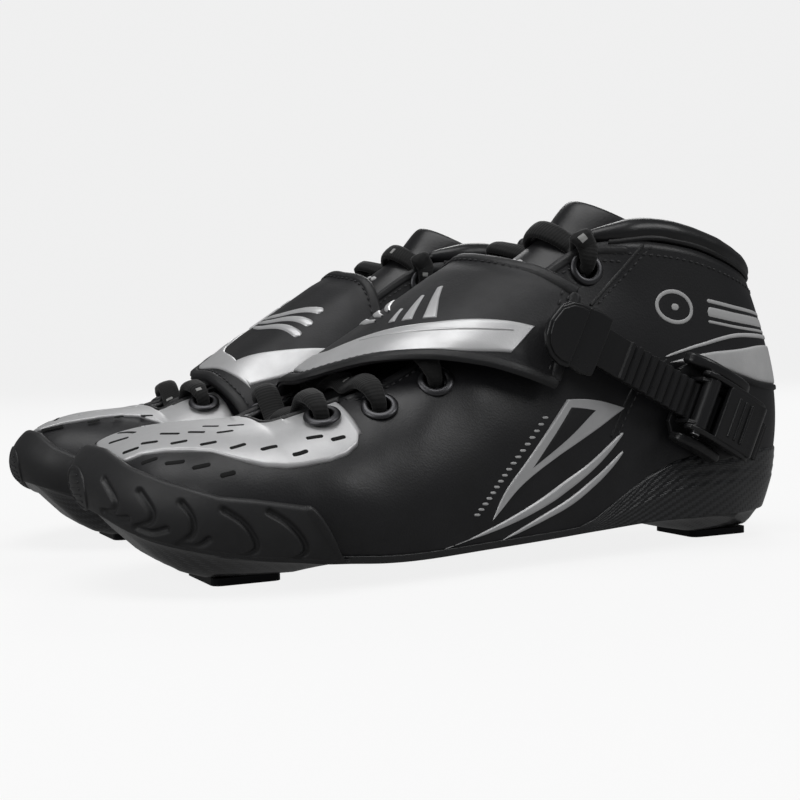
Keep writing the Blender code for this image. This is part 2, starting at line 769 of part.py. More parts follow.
def make_clamp(group, empty):
    """Shield plate over the strap's end, with the keeper that holds the ladder's end."""
    shield = [(-70.5, -2.5), (-68.5, -10.5), (-63, -14.2), (-57.2, -13.7), (-57.2, 8.6),
              (-64, 8), (-68, 5)]
    top = [(-57.6, -12.5), (-47, -11.5), (-47, 9.2), (-57.6, 9)]
    half = LADDER_WIDTH / 2 + GAP
    leg_low = [(-54.5, -12.2), (-47, -11.5), (-47, -half), (-54.5, -half)]
    leg_high = [(-54.5, half), (-47, half), (-47, 9.2), (-54.5, 9.1)]
    parts = [(shield, 3.4, 5.8, "z"), (top, 3.0, 5.2, "z"), (leg_low, 0.2, 4.0, "z"),
             (leg_high, 0.2, 4.0, "z")]
    return union("left_strap_clamp", parts, "moulded", group, empty)


def pin_holes(name, pin, half_length, empty, cutters):
    """Wire cutter for the holes that a pin runs in."""
    bm = bmesh.new()
    x, _, z = pin
    rod(bm, PIN_RADIUS + 0.3, (x, -half_length, z), (x, half_length, z), 10)
    mesh = bpy.data.meshes.new(name)
    bm.to_mesh(mesh)
    bm.free()
    cutter = bpy.data.objects.new(name, mesh)
    cutters.objects.link(cutter)
    cutter.hide_render = True
    cutter.display_type = "WIRE"
    cutter.parent = empty
    return cutter


def make_pin(name, pin, half_length, group, empty):
    bm = bmesh.new()
    x, _, z = pin
    rod(bm, PIN_RADIUS, (x, -half_length, z), (x, half_length, z), 10)
    item = finish(bm, name, "steel", group)
    item.parent = empty


def make_spring(group, empty):
    """Torsion spring on the release catch's pin."""
    x, _, z = CATCH_PIN
    turns, sides = 2.5, 8
    curve = bpy.data.curves.new("spring", "CURVE")
    curve.dimensions = "3D"
    curve.bevel_depth = 0.25 * MM
    curve.bevel_resolution = 0
    curve.use_fill_caps = True
    line = curve.splines.new("POLY")
    count = round(turns * sides) + 1
    line.points.add(count - 1)
    for k in range(count):
        angle = 2 * math.pi * k / sides
        line.points[k].co = ((x + 1.75 * math.cos(angle)) * MM, (-6.9 + 0.08 * k) * MM,
                             (z + 1.75 * math.sin(angle)) * MM, 1.0)
    holder = bpy.data.objects.new("spring_curve", curve)
    group.objects.link(holder)
    mesh = bpy.data.meshes.new_from_object(
        holder.evaluated_get(bpy.context.evaluated_depsgraph_get()))
    bpy.data.objects.remove(holder, do_unlink=True)
    bm = bmesh.new()
    bm.from_mesh(mesh)
    bmesh.ops.remove_doubles(bm, verts=bm.verts, dist=0.00002)
    bmesh.ops.recalc_face_normals(bm, faces=bm.faces)
    item = finish(bm, "left_catch_spring", "steel", group, weld=0.00002)
    item.parent = empty


def make_buckle(group, empty, cutters):
    """Ratchet buckle: base channel, lever, release catch, two pins, spring and screw."""
    half = LADDER_WIDTH / 2 + GAP
    cheek = half + 1.7
    floor = [(-4, -10), (0, -14.6), (22, -14.6), (31, -9), (31, 9), (22, 15), (-2, 15),
             (-8, 9), (-4, 7)]
    side = [(-1.5, -2.0), (-1.5, 6.4), (0.6, 8.6), (5.4, 8.6), (7.6, 6.8), (20, 7.0),
            (22, 7.4), (24.4, 6.8), (30, 3), (30, -2.0)]
    guard = [(-7, -2.0), (-6, 2.5), (0, 6.0), (16, 6.4), (23, 4.5), (25, -2.0)]
    low_guard = [(-1, -2.0), (0, 3.5), (4, 5.6), (16, 5.6), (21, 4), (22, -2.0)]
    parts = [(floor, -2.6, -0.6, "z"), (side, -cheek, -half, "y"), (side, half, cheek, "y"),
             (guard, 12.6, 14.8, "y"), (low_guard, -14.4, -12.6, "y")]
    base = union("left_buckle_base", parts, "moulded", group, empty)
    lever_holes = pin_holes("lever_pin_holes", LEVER_PIN, 14, empty, cutters)
    catch_holes = pin_holes("catch_pin_holes", CATCH_PIN, 9.5, empty, cutters)
    cut(base, lever_holes)
    cut(base, catch_holes)
    bm = bmesh.new()
    rod(bm, 1.0, (9, -10.8, -4), (9, -10.8, 2), 10)
    mesh = bpy.data.meshes.new("buckle_screw_hole")
    bm.to_mesh(mesh)
    bm.free()
    cutter = bpy.data.objects.new("buckle_screw_hole", mesh)
    cutters.objects.link(cutter)
    cutter.hide_render = True
    cutter.display_type = "WIRE"
    cutter.parent = empty
    cut(base, cutter)

    x, _, z = LEVER_PIN
    lever_frame = bpy.data.objects.new("left_lever_axis", None)
    group.objects.link(lever_frame)
    lever_frame.parent = empty
    lever_frame.location = Vector(LEVER_PIN) * MM
    near = cheek + GAP
    far = near + 1.7
    arm = [(-5.8, -0.6), (-5.6, 2.0), (-3, 3.4), (6, 3.5), (16, 3.4), (24, 2.6), (26, 1.2),
           (25, -0.4), (14, 0.0), (3.4, -2.4), (-3.0, -2.6)]
    plate = [(6.0, 1.2), (6.0, 3.7), (16, 3.6), (24, 2.8), (26, 1.6), (25.5, 0.6),
             (22, 1.2), (16, 1.3)]
    parts = [(arm, near, far, "y"), (arm, -far, -near, "y"),
             (plate, -near - 0.5, near + 0.5, "y")]
    lever = union("left_buckle_lever", parts, "moulded", group, lever_frame)
    cut(lever, lever_holes)

    catch_frame = bpy.data.objects.new("left_catch_axis", None)
    group.objects.link(catch_frame)
    catch_frame.parent = empty
    catch_frame.location = Vector(CATCH_PIN) * MM
    pawl = [(-8.0, -1.5), (-7.4, -0.4), (-2.6, 1.7), (2.6, 1.8), (6.0, 1.0), (6.0, 0.0),
           (2.6, -1.7), (-2.6, -1.7), (-6.0, -1.7)]
    catch = union("left_buckle_catch", [(pawl, -half + 3.0, half - 0.5, "y")], "moulded",
                  group, catch_frame)
    cut(catch, catch_holes)
    make_pin("left_lever_pin", LEVER_PIN, far, group, empty)
    make_pin("left_catch_pin", CATCH_PIN, cheek, group, empty)
    make_spring(group, empty)
    screw = bmesh.new()
    outline = [(0, -2.9), (0.7, -2.9), (0.7, -0.2), (1.45, -0.2), (1.45, 0.5), (0.9, 0.9),
               (0, 0.9)]
    points = [screw.verts.new((r * MM, 0, h * MM)) for r, h in outline]
    edges = [screw.edges.new(pair) for pair in zip(points, points[1:])]
    bmesh.ops.spin(screw, geom=points + edges, cent=(0, 0, 0), axis=(0, 0, 1),
                   angle=2 * math.pi, steps=10, use_merge=True)
    bmesh.ops.remove_doubles(screw, verts=screw.verts, dist=1e-6)
    bmesh.ops.translate(screw, vec=Vector((9, -10.8, 0)) * MM, verts=screw.verts)
    bmesh.ops.recalc_face_normals(screw, faces=screw.faces)
    item = finish(screw, "left_buckle_screw", "steel", group)
    item.parent = empty


def build_left(parts, cutters):
    make_shell(parts)
    make_upper(parts, cutters)
    make_eyelets(parts)
    make_toe_guard(parts)
    make_toe_cap(parts, cutters)
    make_lining(parts)
    make_tongue(parts)
    make_footbed(parts)
    make_lace(parts)
    make_strap(parts)
    make_mount_plate("left_front_mount", FRONT_MOUNT_Y, (30, 24, PLATE_HEIGHT), parts, cutters)
    make_mount_plate("left_heel_mount", FRONT_MOUNT_Y + MOUNT_SPACING, (26, 26, PLATE_HEIGHT),
                     parts, cutters)
    axis = bpy.data.objects.new("left_ladder_axis", None)
    parts.objects.link(axis)
    axis.matrix_world = ladder_frame()
    make_ladder(parts, axis)
    make_clamp(parts, axis)
    make_buckle(parts, axis, cutters)


def mirror_boot(parts):
    """The right boot: every left piece mirrored across the plane X = 0."""
    flip = Matrix.Scale(-1, 4, (1, 0, 0))
    graph = bpy.context.evaluated_depsgraph_get()
    for item in [o for o in parts.objects if o.type == "MESH"]:
        mesh = bpy.data.meshes.new_from_object(item.evaluated_get(graph))
        bm = bmesh.new()
        bm.from_mesh(mesh)
        bmesh.ops.transform(bm, matrix=flip, verts=bm.verts)
        bmesh.ops.reverse_faces(bm, faces=bm.faces)
        bm.to_mesh(mesh)
        bm.free()
        kind = item.get("kind")
        twin = new_object(item.name.replace("left_", "right_"), mesh, kind, parts)
        twin.matrix_world = flip @ item.matrix_world @ flip


def main():
    clear_scene()
    parts = new_collection("speed_skate_boots")
    cutters = new_collection("cutters")
    build_left(parts, cutters)
    stand = bpy.data.objects.new("left_boot", None)
    parts.objects.link(stand)
    stand.location.x = BOOT_SPACING / 2 * MM
    for item in list(parts.objects) + list(cutters.objects):
        if item.parent is None and item is not stand:
            item.parent = stand
    bpy.context.view_layer.update()
    mirror_boot(parts)


main()
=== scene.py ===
"""Finished look of a pair of low-cut speed skate boots.

Every table of boot shape is in millimetres in the left boot's own frame: +X is its outer side,
the toes point to -Y, and the ground is at Z = 0. Each piece is made once for the left boot and
mirrored for the right one.
"""
import math
from functools import partial

import bmesh
import bpy
from mathutils import Matrix, Vector, noise

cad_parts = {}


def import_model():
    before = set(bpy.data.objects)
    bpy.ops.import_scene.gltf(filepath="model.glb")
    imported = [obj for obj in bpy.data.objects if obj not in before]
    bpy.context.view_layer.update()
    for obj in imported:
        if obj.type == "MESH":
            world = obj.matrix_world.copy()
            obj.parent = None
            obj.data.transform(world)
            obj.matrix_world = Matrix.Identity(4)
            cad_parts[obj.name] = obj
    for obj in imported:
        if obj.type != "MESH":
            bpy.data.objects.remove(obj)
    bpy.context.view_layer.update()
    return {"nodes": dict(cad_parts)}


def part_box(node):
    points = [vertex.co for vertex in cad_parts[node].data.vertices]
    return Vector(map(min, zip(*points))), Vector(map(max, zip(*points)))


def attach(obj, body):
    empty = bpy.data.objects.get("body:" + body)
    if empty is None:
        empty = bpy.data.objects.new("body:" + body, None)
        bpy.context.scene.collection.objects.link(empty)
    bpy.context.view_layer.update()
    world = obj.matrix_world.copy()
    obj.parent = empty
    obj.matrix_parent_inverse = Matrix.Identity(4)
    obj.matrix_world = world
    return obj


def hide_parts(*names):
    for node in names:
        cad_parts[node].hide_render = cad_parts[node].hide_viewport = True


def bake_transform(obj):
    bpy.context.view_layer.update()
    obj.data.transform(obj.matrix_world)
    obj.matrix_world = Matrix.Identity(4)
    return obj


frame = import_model()

MM = 0.001
SIDES = ("left", "right")
low_corner, high_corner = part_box("left_front_mount")
BOOT_X = (low_corner.x + high_corner.x) / 2 / MM

# ---------------------------------------------------------------- shape of the boot
# Each row is one upright line of the boot's skin: sole edge, top edge, and how far the line
# swells out and up from the sole edge, and out and down from the top edge.
OUTER_ROWS = [
    ((-14, -130, 25.5), (-15, -108, 50.5), (12, 10), (25, 0)),
    ((5, -129.5, 24), (-12, -104, 51.5), (10, 11), (27, 0)),
    ((21, -122.5, 18.5), (-9.5, -100, 52), (10, 14), (33, 0)),
    ((32.5, -108.5, 14.5), (-7.5, -95, 52.3), (11, 17), (37, 0)),
    ((39.5, -92, 11.5), (-5, -89, 52.5), (12, 19), (43, 0)),
    ((42.5, -79, 10), (-2, -81.5, 52.8), (11, 21), (44, 0)),
    ((43.5, -71, 9), (11, -79, 51.8), (11, 21), (31, 1)),
    ((44, -63, 8.5), (14, -69, 54.5), (11, 21), (28, 2)),
    ((44, -50, 7.5), (17.5, -53, 60), (9, 22), (24, 6)),
    ((43, -35, 7.3), (20, -36, 67), (8, 23), (21, 8)),
    ((40.5, -12, 8), (22, -12, 81.5), (6, 27), (17, 13)),
    ((38, 12, 8.8), (24, 12, 95.5), (4, 31), (13, 18)),
    ((36, 36, 10), (26.5, 34, 109.5), (2, 34), (9, 24)),
    ((34.5, 58, 11.2), (30.5, 54, 112.5), (1, 38), (2, 34)),
    ((33, 82, 11.2), (31, 80, 110), (2, 38), (1, 34)),
    ((28.5, 104, 11), (27, 102, 104), (5, 34), (4, 32)),
    ((18, 122.5, 11.5), (16, 119.5, 98), (12, 33), (9, 28)),
    ((0, 131, 12.5), (0, 125, 95), (15, 34), (11.5, 28)),
]
INNER_ROWS = [
    OUTER_ROWS[0],
    ((-27, -125.5, 23.5), OUTER_ROWS[1][1], (10, 11), (25, 0)),
    ((-35, -114, 19.5), OUTER_ROWS[2][1], (9, 13), (28, 0)),
    ((-39, -101.5, 16), OUTER_ROWS[3][1], (9, 16), (32, 0)),
    ((-42, -89, 13.5), OUTER_ROWS[4][1], (9, 18), (37, 0)),
    ((-43, -78, 12), OUTER_ROWS[5][1], (9, 20), (41, 0)),
    ((-43, -72, 11), (-14, -79.2, 51.8), (9, 20), (29, 1)),
    ((-42.5, -64, 10), (-16, -70, 55.5), (9, 20), (27, 2)),
    ((-41, -51, 9.5), (-18, -54, 60.5), (8, 22), (23, 6)),
    ((-38, -35, 9.5), (-20.5, -36, 68), (6, 24), (18, 8)),
    ((-32.5, -12, 10), (-22, -12, 82.5), (5, 28), (12, 13)),
    ((-29, 12, 11), (-24, 12, 96.5), (5, 32), (8, 18)),
    ((-28, 36, 11.5), (-26.5, 34, 110), (4, 36), (5, 24)),
    ((-28, 58, 12), (-30, 54, 112.5), (4, 38), (1, 34)),
    ((-28, 82, 12), (-30.5, 80, 110), (5, 38), (1, 34)),
    ((-25, 104, 12), (-26.5, 102, 104), (6, 34), (4, 32)),
    ((-15.5, 121.5, 12), (-15.5, 119.5, 98), (11, 33), (9, 28)),
    OUTER_ROWS[-1],
]
LAST = len(OUTER_ROWS) - 1
ROUND = 2 * LAST

# Along the boot: underside of the sole, rim of the carbon shell, top of the toe guard (y, z)
KEEL = [(-131, 25.5), (-124, 18), (-115, 9.5), (-108, 5), (-101, 3), (-74, 3), (-67, 4.2),
        (-55, 5.8), (-38, 6.4), (20, 7), (50, 8.5), (66, 8.5), (79, 5.5), (92, 3), (122, 3),
        (127, 5.5), (132, 12.5)]
RIM = [(-140, 0), (20, 10), (34, 14.5), (48, 22.5), (60, 28.5), (72, 33), (84, 34.5),
       (140, 34.5)]
GUARD_TOP = [(-140, 46.5), (-133, 44.8), (-126, 40.2), (-117.4, 36.6), (-103, 32.0),
             (-94, 31), (-79, 28.3), (-60, 26)]

# Lower edge of the silver vamp panel by line, on the outer and the inner side (line, z)
CAP_OUTER = [(0, 46), (1, 43.8), (1.72, 41.6), (2.1, 43.8), (2.6, 44.8), (3.1, 44.9),
             (3.57, 44.4), (4.08, 42.2), (4.62, 39.9), (5.2, 39.3), (6, 39.6), (6.9, 40.7),
             (7.35, 42.4), (7.65, 45.2), (7.8, 49)]
CAP_INNER = [(0, 46.5), (0.8, 48.6), (2, 50.2), (3.2, 50.8), (4.2, 50.2), (4.8, 47.6),
             (5.3, 44.6), (6, 41.6), (6.8, 40.8), (7.35, 42.4), (7.65, 45.2), (7.8, 49)]

# Instep strap, from the inner sole edge over the instep to its outer end
STRAP_FRONT = [(-46, -40, 22), (-46.5, -49, 38), (-39.5, -55, 53), (-22.5, -60, 62),
               (-3, -61, 63.4), (8, -53.3, 66.8), (22, -42.7, 70.3), (33, -27.6, 71.3),
               (38.5, -11.6, 69.5), (41, 2, 66), (41.5, 15.6, 61.3)]
STRAP_REAR = [(-38.5, -4, 24), (-39, 6, 50), (-37.5, 12, 80), (-28, 13, 102),
              (-11, 9, 107.2), (0, 8, 107.6), (13, 11, 105.6), (20.5, 15, 103.6),
              (27, 19, 101.6), (32.5, 23.5, 98.2), (37, 28.6, 94.1)]

# Tongue stations: middle of the top face (y, z), half width, edge drop (back, down), thickness
TONGUE = [
    (-96, 44.5, 14, 0, 3, 2.5),
    (-80, 47.8, 16, 0, 3.5, 3),
    (-62, 54.0, 18, 0, 5, 4),
    (-40, 67.8, 21, 0, 8, 5),
    (-15, 83.4, 22.5, 2, 11, 6),
    (8, 97.6, 21, 5, 11, 5),
    (24, 107.0, 20.5, 8, 12, 5),
    (38, 117.0, 18.8, 11, 11, 6),
    (50, 131.0, 18.2, 14, 9, 6),
]

LACE_ROWS = (7.3, 8.45, 9.45, 10.9, 12.15)
EYELET_SET_BACK = (12.5, 12.5, 13.0, 12.0, 8.0)

# Ratchet line: its slope down to the heel and its turn inwards in degrees, and its middle
LADDER_PITCH = 27.0
LADDER_YAW = 4.5
LADDER_ORIGIN = (38.4, 73.5, 54.6)

STRAP_LENGTH, STRAP_WIDTH = 157.0, 72.0
STRAP_EDGE = 2.4  # width of the strap's rounded edge
PANEL_LIFT = 1.0  # height of the silver vamp panel over the skin
GUARD_LIFT = 2.7  # height of the rubber guard over the skin
GUARD_SPAN = 6.9  # lines that the guard covers on each side of the toe tip
CAP_SPAN = 7.85  # lines that the silver panel covers on each side
COLLAR_START = 12.3  # line where the collar roll begins
COLLAR_END = ROUND - COLLAR_START
COLLAR_RADIUS, COLLAR_INSET, COLLAR_RISE = 4.7, 3.9, 4.6
VIEW_AZIMUTH, VIEW_ELEVATION = math.radians(64.35), math.radians(2.46)


def profile(points, at):
    """Value on a (place, value) profile, straight between its points."""
    if at <= points[0][0]:
        return points[0][1]
    for (a, low), (b, high) in zip(points, points[1:]):
        if at <= b:
            return low + (high - low) * (at - a) / (b - a)
    return points[-1][1]


def ease(share):
    """Smooth step from 0 to 1."""
    share = min(1.0, max(0.0, share))
    return share * share * (3 - 2 * share)


def spline(before, start, end, after, t):
    """Catmull-Rom point between start and end."""
    a = (end - before) * 0.5
    b = (after - start) * 0.5
    return (start * (2 * t ** 3 - 3 * t ** 2 + 1) + a * (t ** 3 - 2 * t ** 2 + t)
            + end * (-2 * t ** 3 + 3 * t ** 2) + b * (t ** 3 - t ** 2))


def nearby(rows, share):
    """The four rows round a share of a table, and how far it is from the second to the third."""
    spans = len(rows) - 1
    at = min(max(share * spans, 0.0), spans - 1e-9)
    k = int(at)
    return [rows[min(max(k + step, 0), spans)] for step in (-1, 0, 1, 2)], at - k


def through(points, share):
    """Point on a smooth open curve through flat or solid points; share runs from 0 to 1."""
    near, t = nearby(points, share)
    return spline(*(Vector(point).to_3d() for point in near), t)


def through_row(rows, share):
    """Every value of a table of rows at a share of its length."""
    near, t = nearby(rows, share)
    return [spline(*values, t) for values in zip(*near)]


def skin_lines():
    """Bezier control points of every line, once round the boot from the toe tip."""
    rows = OUTER_ROWS + INNER_ROWS[-2:0:-1]
    lines = []
    for k, (sole, top, low, high) in enumerate(rows):
        ahead = Vector(rows[(k + 1) % ROUND][0])
        behind = Vector(rows[(k - 1) % ROUND][0])
        along = (ahead - behind).to_2d().normalized()
        out = Vector((along.y, -along.x, 0))
        foot, head = Vector(sole), Vector(top)
        lines.append((foot, foot + out * low[0] + Vector((0, 0, low[1])),
                      head + out * high[0] - Vector((0, 0, high[1])), head))
    return lines


LINES = skin_lines()
COLUMNS = {}


def column(place):
    """The four control points at a place round the boot."""
    key = round(place % ROUND, 5)
    if key not in COLUMNS:
        k = int(math.floor(place))
        four = [LINES[(k + step) % ROUND] for step in (-1, 0, 1, 2)]
        COLUMNS[key] = [spline(*(line[n] for line in four), place - k) for n in range(4)]
    return COLUMNS[key]


def skin(place, t):
    """Point on the skin: place runs round the boot, t from 0 sole edge to 1 top edge."""
    a, b, c, d = column(place)
    return (a * (1 - t) ** 3 + b * 3 * t * (1 - t) ** 2 + c * 3 * t * t * (1 - t)
            + d * t ** 3)


def skin_normal(place, t):
    """Direction straight out of the skin."""
    middle = min(t, 0.97)
    side = skin(place + 0.05, middle) - skin(place - 0.05, middle)
    rise = skin(place, min(t + 0.02, 1.0)) - skin(place, max(t - 0.02, 0.0))
    return side.cross(rise).normalized()


def off_skin(place, t, distance):
    """Point at a distance off the skin."""
    return skin(place, t) + skin_normal(place, t) * distance


def off_leather(place, t, distance):
    """Point off the upper, which has slow creases in its leather."""
    spot = skin(place, t)
    crease = noise.noise(Vector((spot.x * 0.055, spot.y * 0.08, spot.z * 0.055))) * 0.5
    crease *= ease(min(t, 1 - t) * 5) * ease((abs(place % ROUND - LAST) - 1.5) / 4)
    return spot + skin_normal(place, t) * (distance + crease)


def height_at(place, level):
    """Height parameter where the line at this place reaches a level in millimetres."""
    low, high = 0.0, 1.0
    for _ in range(20):
        middle = (low + high) / 2
        if skin(place, middle).z < level:
            low = middle
        else:
            high = middle
    return (low + high) / 2


def set_back(place, distance):
    """Height parameter at a distance down the line from its top edge."""
    t, walked, last = 1.0, 0.0, skin(place, 1.0)
    while walked < distance:
        t -= 0.005
        here = skin(place, t)
        walked += (here - last).length
        last = here
    return t


RIMS = {}


def rim_height(place):
    """Height parameter of the carbon shell's rim."""
    key = round(place % ROUND, 5)
    if key not in RIMS:
        foot = skin(place, 0.0)
        RIMS[key] = height_at(place, max(foot.z + 2.6, profile(RIM, foot.y)))
    return RIMS[key]


def strap_point(u, v):
    """Point on the strap: u from its inner end to its outer one, v from front to rear."""
    return through(STRAP_FRONT, u).lerp(through(STRAP_REAR, u), v)


def off_strap(u, v, distance):
    """Point at a distance off the strap's middle surface."""
    side = strap_point(u + 0.01, v) - strap_point(u - 0.01, v)
    rise = strap_point(u, v + 0.02) - strap_point(u, v - 0.02)
    return strap_point(u, v) + side.cross(rise).normalized() * distance


def tongue_point(t, s, depth=0.0):
    """Point on the tongue: t from its toe end to its top, s from -1 to 1 across."""
    y, z, half, back, down, thick = through_row(TONGUE, t)
    top = Vector((s * half, y + back * s * s, z - down * s * s))
    under = Vector((0, 0.75 * ease((y + 90) / 120), -1)).normalized()
    return top + under * thick * depth


def off_tongue(t, s, distance):
    """Point at a distance off the tongue's top face."""
    across = tongue_point(t, s + 0.02) - tongue_point(t, s - 0.02)
    along = tongue_point(t + 0.01, s) - tongue_point(t - 0.01, s)
    return tongue_point(t, s) + across.cross(along).normalized() * distance


# ---------------------------------------------------------------- making pieces
def blank():
    """An empty mesh with a UV map."""
    bm = bmesh.new()
    bm.loops.layers.uv.new("UVMap")
    return bm


def drape(point, across, up, size=(1, 1), uv=None):
    """A grid laid on a surface; point takes two shares from 0 to 1, and size is in metres."""
    bm = blank()
    layer = bm.loops.layers.uv.active
    bmesh.ops.create_grid(bm, x_segments=across, y_segments=up, size=0.5)
    for face in bm.faces:
        for loop in face.loops:
            a, b = loop.vert.co.x + 0.5, loop.vert.co.y + 0.5
            loop[layer].uv = uv(a, b) if uv else (a * size[0], b * size[1])
    for vert in bm.verts:
        vert.co = point(vert.co.x + 0.5, vert.co.y + 0.5)
    return bm


def merged(*parts):
    """One mesh from several, which are used up."""
    whole = blank()
    for part in parts:
        mesh = bpy.data.meshes.new("part")
        part.to_mesh(mesh)
        part.free()
        whole.from_mesh(mesh)
        bpy.data.meshes.remove(mesh)
    return whole


def weld(bm, distance=0.01):
    """Joins points that lie together, and removes what shrinks to nothing."""
    bmesh.ops.remove_doubles(bm, verts=bm.verts, dist=distance)
    bmesh.ops.dissolve_degenerate(bm, edges=bm.edges, dist=1e-4)
    return bm


def outward(bm, facing=None):
    """Turns the faces outwards, the way for which facing adds up to more than nothing."""
    bmesh.ops.recalc_face_normals(bm, faces=bm.faces)
    if facing and sum(map(facing, bm.faces)) < 0:
        bmesh.ops.reverse_faces(bm, faces=bm.faces)
    return bm


def close_ends(bm, sides):
    """Fills the open ends of a tube."""
    bmesh.ops.holes_fill(bm, edges=[e for e in bm.edges if e.is_boundary], sides=sides)
    return outward(bm)


def place_side(bm, side):
    """Millimetres in the left boot's frame to metres in the shared frame, on either side."""
    bm = bm.copy()
    bmesh.ops.translate(bm, verts=bm.verts, vec=(BOOT_X, 0, 0))
    bmesh.ops.scale(bm, verts=bm.verts, vec=(MM, MM, MM))
    if side == "right":
        bmesh.ops.scale(bm, verts=bm.verts, vec=(-1, 1, 1))
        bmesh.ops.reverse_faces(bm, faces=bm.faces)
    return bm


def pair(name, bm, material, replaces=(), body="boot", finish=None, blend=None):
    """Both boots' copies of a piece, riding on their bodies; a piece given a blend is fixed in
    place instead.
    """
    made = []
    for side in SIDES:
        placed = place_side(bm, side)
        mesh = bpy.data.meshes.new(f"{side}_{name}_look")
        placed.to_mesh(mesh)
        placed.free()
        for polygon in mesh.polygons:
            polygon.use_smooth = True
        mesh.materials.append(material)
        piece = bpy.data.objects.new(f"{side}_{name}_look", mesh)
        bpy.context.scene.collection.objects.link(piece)
        if finish:
            finish(piece)
        if blend:
            start, end = blend(side)
            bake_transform(piece)
            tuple(start)
            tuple(end)
        else:
            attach(piece, f"{side}_{body}")
        if replaces:
            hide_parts(*[f"{side}_{node}" for node in replaces])
        made.append(piece)
    bm.free()
    return made


def wall(thickness):
    """A finish that thickens a skin inwards, in millimetres."""
    def add(piece):
        modifier = piece.modifiers.new("wall", "SOLIDIFY")
        modifier.thickness = thickness * MM
        modifier.offset = -1.0
    return add


def oval(across, up, half_width, half_height):
    """Closed path of an oval round a middle."""
    return [(across + half_width * math.cos(math.radians(15 * k)),
             up + half_height * math.sin(math.radians(15 * k))) for k in range(25)]


def pillow(a, b, width, height, border):
    """Height of a pressed panel: full inside, rolling down to its edge within the border."""
    edge = min(a * width, (1 - a) * width, b * height, (1 - b) * height) / border
    edge = min(1.0, max(0.0, edge))
    return math.sqrt(1 - (1 - edge) ** 2)


def stroke(off, path, width, lift, taper=None, segments=None, base=-0.25):
    """A raised band along a path on a surface, in millimetres, with rounded edges."""
    samples = [through(path, k / 200) for k in range(201)]
    line = [off(p.x, p.y, 0) for p in samples]
    total = sum((b - a).length for a, b in zip(line, line[1:]))
    count = segments or max(8, round(total / 1.2))

    def frame_at(share):
        at = min(max(share, 0.0), 1.0) * 200
        k = min(int(at), 199)
        here = samples[k].lerp(samples[k + 1], at - k)
        ahead = samples[min(k + 3, 200)]
        behind = samples[max(k - 3, 0)]
        return here, off(ahead.x, ahead.y, 0) - off(behind.x, behind.y, 0)

    def point(a, b):
        here, tangent = frame_at(a)
        middle = off(here.x, here.y, 0)
        normal = (off(here.x, here.y, 1) - middle).normalized()
        side = normal.cross(tangent).normalized()
        half = width / 2 * (taper(a) if taper else 1.0)
        ends = min(a, 1 - a) * total
        if not taper:
            half *= math.sqrt(max(0.0, 1 - (1 - min(1.0, ends / (width / 2))) ** 2))
        across = b * 2 - 1
        rise = base + (lift - base) * math.sqrt(max(0.0, 1 - abs(across) ** 4))
        drop = half * half * across * across * 0.008
        return middle + side * half * across + normal * (rise - drop)

    return weld(drape(point, count, 6, size=(total * MM, width * MM)), 1e-4)


def panel(off, low, high, lift, border=0.9, along=70, across=16, base=-0.3):
    """A raised panel between two edges on a surface, with rounded borders, in millimetres."""
    def edges(a):
        return through(low, a), through(high, a)

    middles = []
    for k in range(41):
        near, far = edges(k / 40)
        middle = (near + far) / 2
        middles.append(off(middle.x, middle.y, 0))
    length = sum((b - a).length for a, b in zip(middles, middles[1:]))

    def point(a, b):
        a, b = ((1 - math.cos(math.pi * share)) / 2 for share in (a, b))
        near, far = edges(a)
        width = (off(near.x, near.y, 0) - off(far.x, far.y, 0)).length
        gap = min(min(b, 1 - b) * width, min(a, 1 - a) * length)
        edge = min(1.0, gap / border)
        at = near.lerp(far, b)
        return off(at.x, at.y, base + (lift - base) * math.sqrt(1 - (1 - edge) ** 2))

    return drape(point, along, across, (length * MM, 0.01))


def stitches(off, path, spacing=3.0, size=(2.1, 0.42, 0.34), lift=0.1):
    """A row of thread stitches along a path on a surface."""
    samples = [through(path, k / 300) for k in range(301)]
    line = [off(p.x, p.y, 0) for p in samples]
    walked = [0.0]
    for a, b in zip(line, line[1:]):
        walked.append(walked[-1] + (b - a).length)
    bm = blank()
    count = max(1, int(walked[-1] / spacing))
    k = 0
    for n in range(count):
        goal = (n + 0.5) * walked[-1] / count
        while k < 299 and walked[k + 1] < goal:
            k += 1
        p, q = samples[k], samples[min(k + 2, 300)]
        middle = off(p.x, p.y, lift)
        normal = (off(p.x, p.y, 1) - off(p.x, p.y, 0)).normalized()
        tangent = (off(q.x, q.y, 0) - off(p.x, p.y, 0)).normalized()
        side = normal.cross(tangent).normalized()
        turn = Matrix((tangent, side, normal)).transposed().to_4x4()
        scale = Matrix.Diagonal((size[0] / 2, size[1], size[2], 1))
        bmesh.ops.create_icosphere(bm, subdivisions=1, radius=1,
                                   matrix=Matrix.Translation(middle) @ turn @ scale)
    return bm


# ---------------------------------------------------------------- textures
def group(name, outputs, inputs=()):
    """An empty texture group: its tree, inputs and outputs, and a maker of maths nodes."""
    tree = bpy.data.node_groups.new(name, "ShaderNodeTree")
    for socket, value in inputs:
        made = tree.interface.new_socket(name=socket, in_out="INPUT",
                                         socket_type="NodeSocketFloat")
        made.default_value = value
    for socket in outputs:
        tree.interface.new_socket(name=socket, in_out="OUTPUT", socket_type="NodeSocketFloat")
    entry = tree.nodes.new("NodeGroupInput").outputs
    leave = tree.nodes.new("NodeGroupOutput").inputs
    return tree, entry, leave, partial(math_node, tree)


def node(tree, kind, settings=None, **inputs):
    """A shader node; each named input takes a value or another node's output."""
    made = tree.nodes.new(kind)
    for key, value in (settings or {}).items():
        setattr(made, key, value)
    for key, value in inputs.items():
        socket = made.inputs[int(key[1:])] if key[0] == "i" and key[1:].isdigit() \
            else made.inputs[key.replace("_", " ")]
        if isinstance(value, bpy.types.NodeSocket):
            tree.links.new(value, socket)
        else:
            socket.default_value = value
    return made


